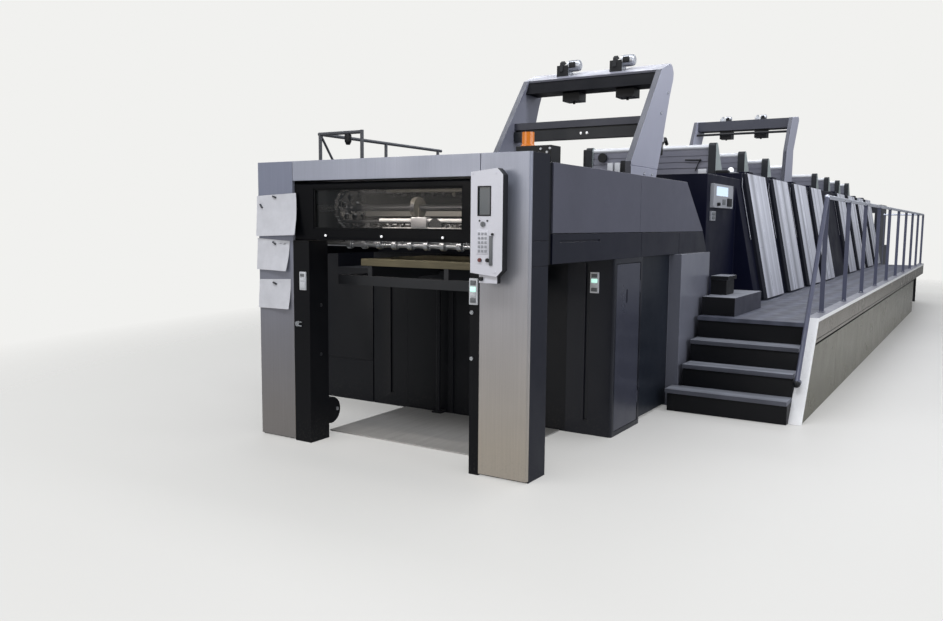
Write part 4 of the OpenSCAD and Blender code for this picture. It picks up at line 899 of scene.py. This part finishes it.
def display_fittings():
    """Card reader, knob and keys beside the unit's display."""
    bm = bmesh.new()
    face = 1.23
    box(bm, (face - 0.001, face + 0.012), (4.69, 4.86), (1.945, 2.035), 0.004, 1)
    box(bm, (face - 0.001, face + 0.005), (4.5, 4.62), (1.96, 2.02), 0.002, 2)
    rod(bm, at(face - 0.001, 4.31, 1.962), at(face + 0.03, 4.31, 1.962), 0.018, 20, 1)
    for z in (1.8, 1.842):
        box(bm, (1.211, 1.222), (4.19, 4.295), (z, z + 0.032), 0.003, 2)
    for y, z in [(4.178, 1.94), (4.178, 2.165), (4.917, 2.165), (4.917, 1.94)]:
        rod(bm, at(face - 0.001, y, z), at(face + 0.003, y, z), 0.007, 12, 0)
    piece("display_fittings", bm, [frame_grey, box_black, key_grey])


display_fittings()


def tower_fittings():
    """Lever, round cover, end plates and pale cards by the first tower, and the first unit's small lamp."""
    bm = bmesh.new()
    front = 5.488
    rod(bm, at(0.48, front, 2.537), at(0.668, front, 2.531), 0.009, 12, 0)
    rod(bm, at(0.664, front, 2.531), at(0.611, front, 2.405), 0.006, 12, 0)
    ball(bm, at(0.668, front, 2.531), 0.016, 0, 8)
    box(bm, (-0.9, -0.77), (5.49, 5.8), (2.361, 2.715), 0.01, 0)
    rod(bm, at(-0.62, 5.47, 2.6), at(-0.62, 5.5, 2.6), 0.06, 24, 0)
    box(bm, (-0.36, -0.215), (5.462, 5.5), (2.362, 2.555), 0.004, 0)
    for x in (-0.54, -0.44):
        box(bm, (x, x + 0.072), (5.458, 5.5), (2.405, 2.53), 0.003, 1)
    box(bm, (0.66, 0.755), (5.44, 5.49), (2.362, 2.42), 0.004, 1)
    box(bm, (0.87, 1.02), (5.45, 5.55), (2.361, 2.4), 0.006, 0)
    piece("tower_fittings", bm, [box_black, key_white])
    bm = bmesh.new()
    box(bm, (0.93, 1.06), (5.56, 6.0), (2.3605, 2.385), 0.005, 1)
    rod(bm, at(1.0, 5.66, 2.385), at(1.0, 5.66, 2.41), 0.035, 20, 0)
    ball(bm, at(1.0, 5.66, 2.41), 0.035, 0, 8)
    piece("unit_top_lamp", bm, [lamp_white, panel_grey])


tower_fittings()


# Fittings of the gallery

RAIL_X = 2.383
FIRST_POST, LAST_POST, POSTS = 4.0, 17.25, 10


def post_feet():
    """Foot plates of the railing posts, each with two bolts, and a clamp under the handrail."""
    bm = bmesh.new()
    pitch = (LAST_POST - FIRST_POST) / (POSTS - 1)
    for i in range(POSTS):
        y = FIRST_POST + i * pitch
        box(bm, (RAIL_X - 0.03, RAIL_X + 0.03), (y - 0.05, y + 0.05), (0.89, 0.898), 0.002, 0)
        for step in (-0.034, 0.034):
            hex_bolt(bm, at(RAIL_X, y + step, 0.898), (0, 0, 1), 0.008, 1)
        box(bm, (RAIL_X - 0.012, RAIL_X + 0.012), (y - 0.02, y + 0.02), (1.985, 2.003), 0.003, 0)
    mirrored(bm)
    piece("post_feet", bm, [rail_slate, bolt_steel])


post_feet()


FIRST_JOINT, SHEET_PITCH = 4.6, 1.6


def skirt_joints():
    """Dark joints between the skirt's sheets and the thin line above its groove."""
    bm = bmesh.new()
    for i in range(8):
        y = FIRST_JOINT + i * SHEET_PITCH
        box(bm, (2.4515, 2.4522), (y, y + 0.0025), (0.02 if y < 14.5 else 0.66, 0.845), 0.0, 0)
    box(bm, (2.4515, 2.4525), (3.4, 17.29), (0.688, 0.694), 0.0, 0)
    mirrored(bm)
    piece("skirt_joints", bm, gap_black)


skirt_joints()


def stair_fittings():
    """Riser under the lowest tread's inner end, and black rubber caps where the handrails end."""
    bm = bmesh.new()
    box(bm, (1.268, 1.342), (2.727, 2.915), (0.0, 0.1695), 0.002)
    ball(bm, at(RAIL_X, 2.9, 0.34), 0.031, rows=10, squash=(1, 1.35, 1))
    rod(bm, at(RAIL_X, 2.905, 0.34), at(RAIL_X, 2.95, 0.34), 0.027, 20)
    mirrored(bm)
    piece("stair_fittings", bm, support_black)


stair_fittings()


# Floor

def studio_floor():
    """A plain pale floor, a little uneven in tone, that melts into the backdrop far from the press."""
    surface, tree = new_surface("sealed_screed_pale")
    where = add(tree, "TexCoord").outputs["Object"]
    tone = spread(tree, noise(tree, where, 0.3, 6.0), 0.98, 1.02)
    paint = add(tree, "VectorMath", {0: rgb("#dddbd7")[:3], "Scale": tone}, operation="SCALE").outputs[0]
    shader = add(tree, "BsdfPrincipled", {"Base Color": paint, "Roughness": 0.45})
    away = add(tree, "VectorMath", {0: where, 1: (1 / 13, 1 / 25, 0)}, operation="MULTIPLY").outputs[0]
    away = add(tree, "VectorMath", {0: away}, operation="LENGTH").outputs[1]
    open_air = add(tree, "BsdfTransparent")
    melted = add(tree, "MixShader", {0: spread(tree, away, 0, 1, 0.22, 0.7), 1: shader.outputs[0],
                                     2: open_air.outputs[0]})
    add(tree, "OutputMaterial", {"Surface": melted.outputs[0]})
    bm = bmesh.new()
    bmesh.ops.create_grid(bm, x_segments=1, y_segments=1, size=150)
    mesh = bpy.data.meshes.new("studio_floor")
    bm.to_mesh(mesh)
    bm.free()
    mesh.materials.append(surface)
    floor = bpy.data.objects.new("studio_floor", mesh)
    bpy.context.scene.collection.objects.link(floor)


studio_floor()
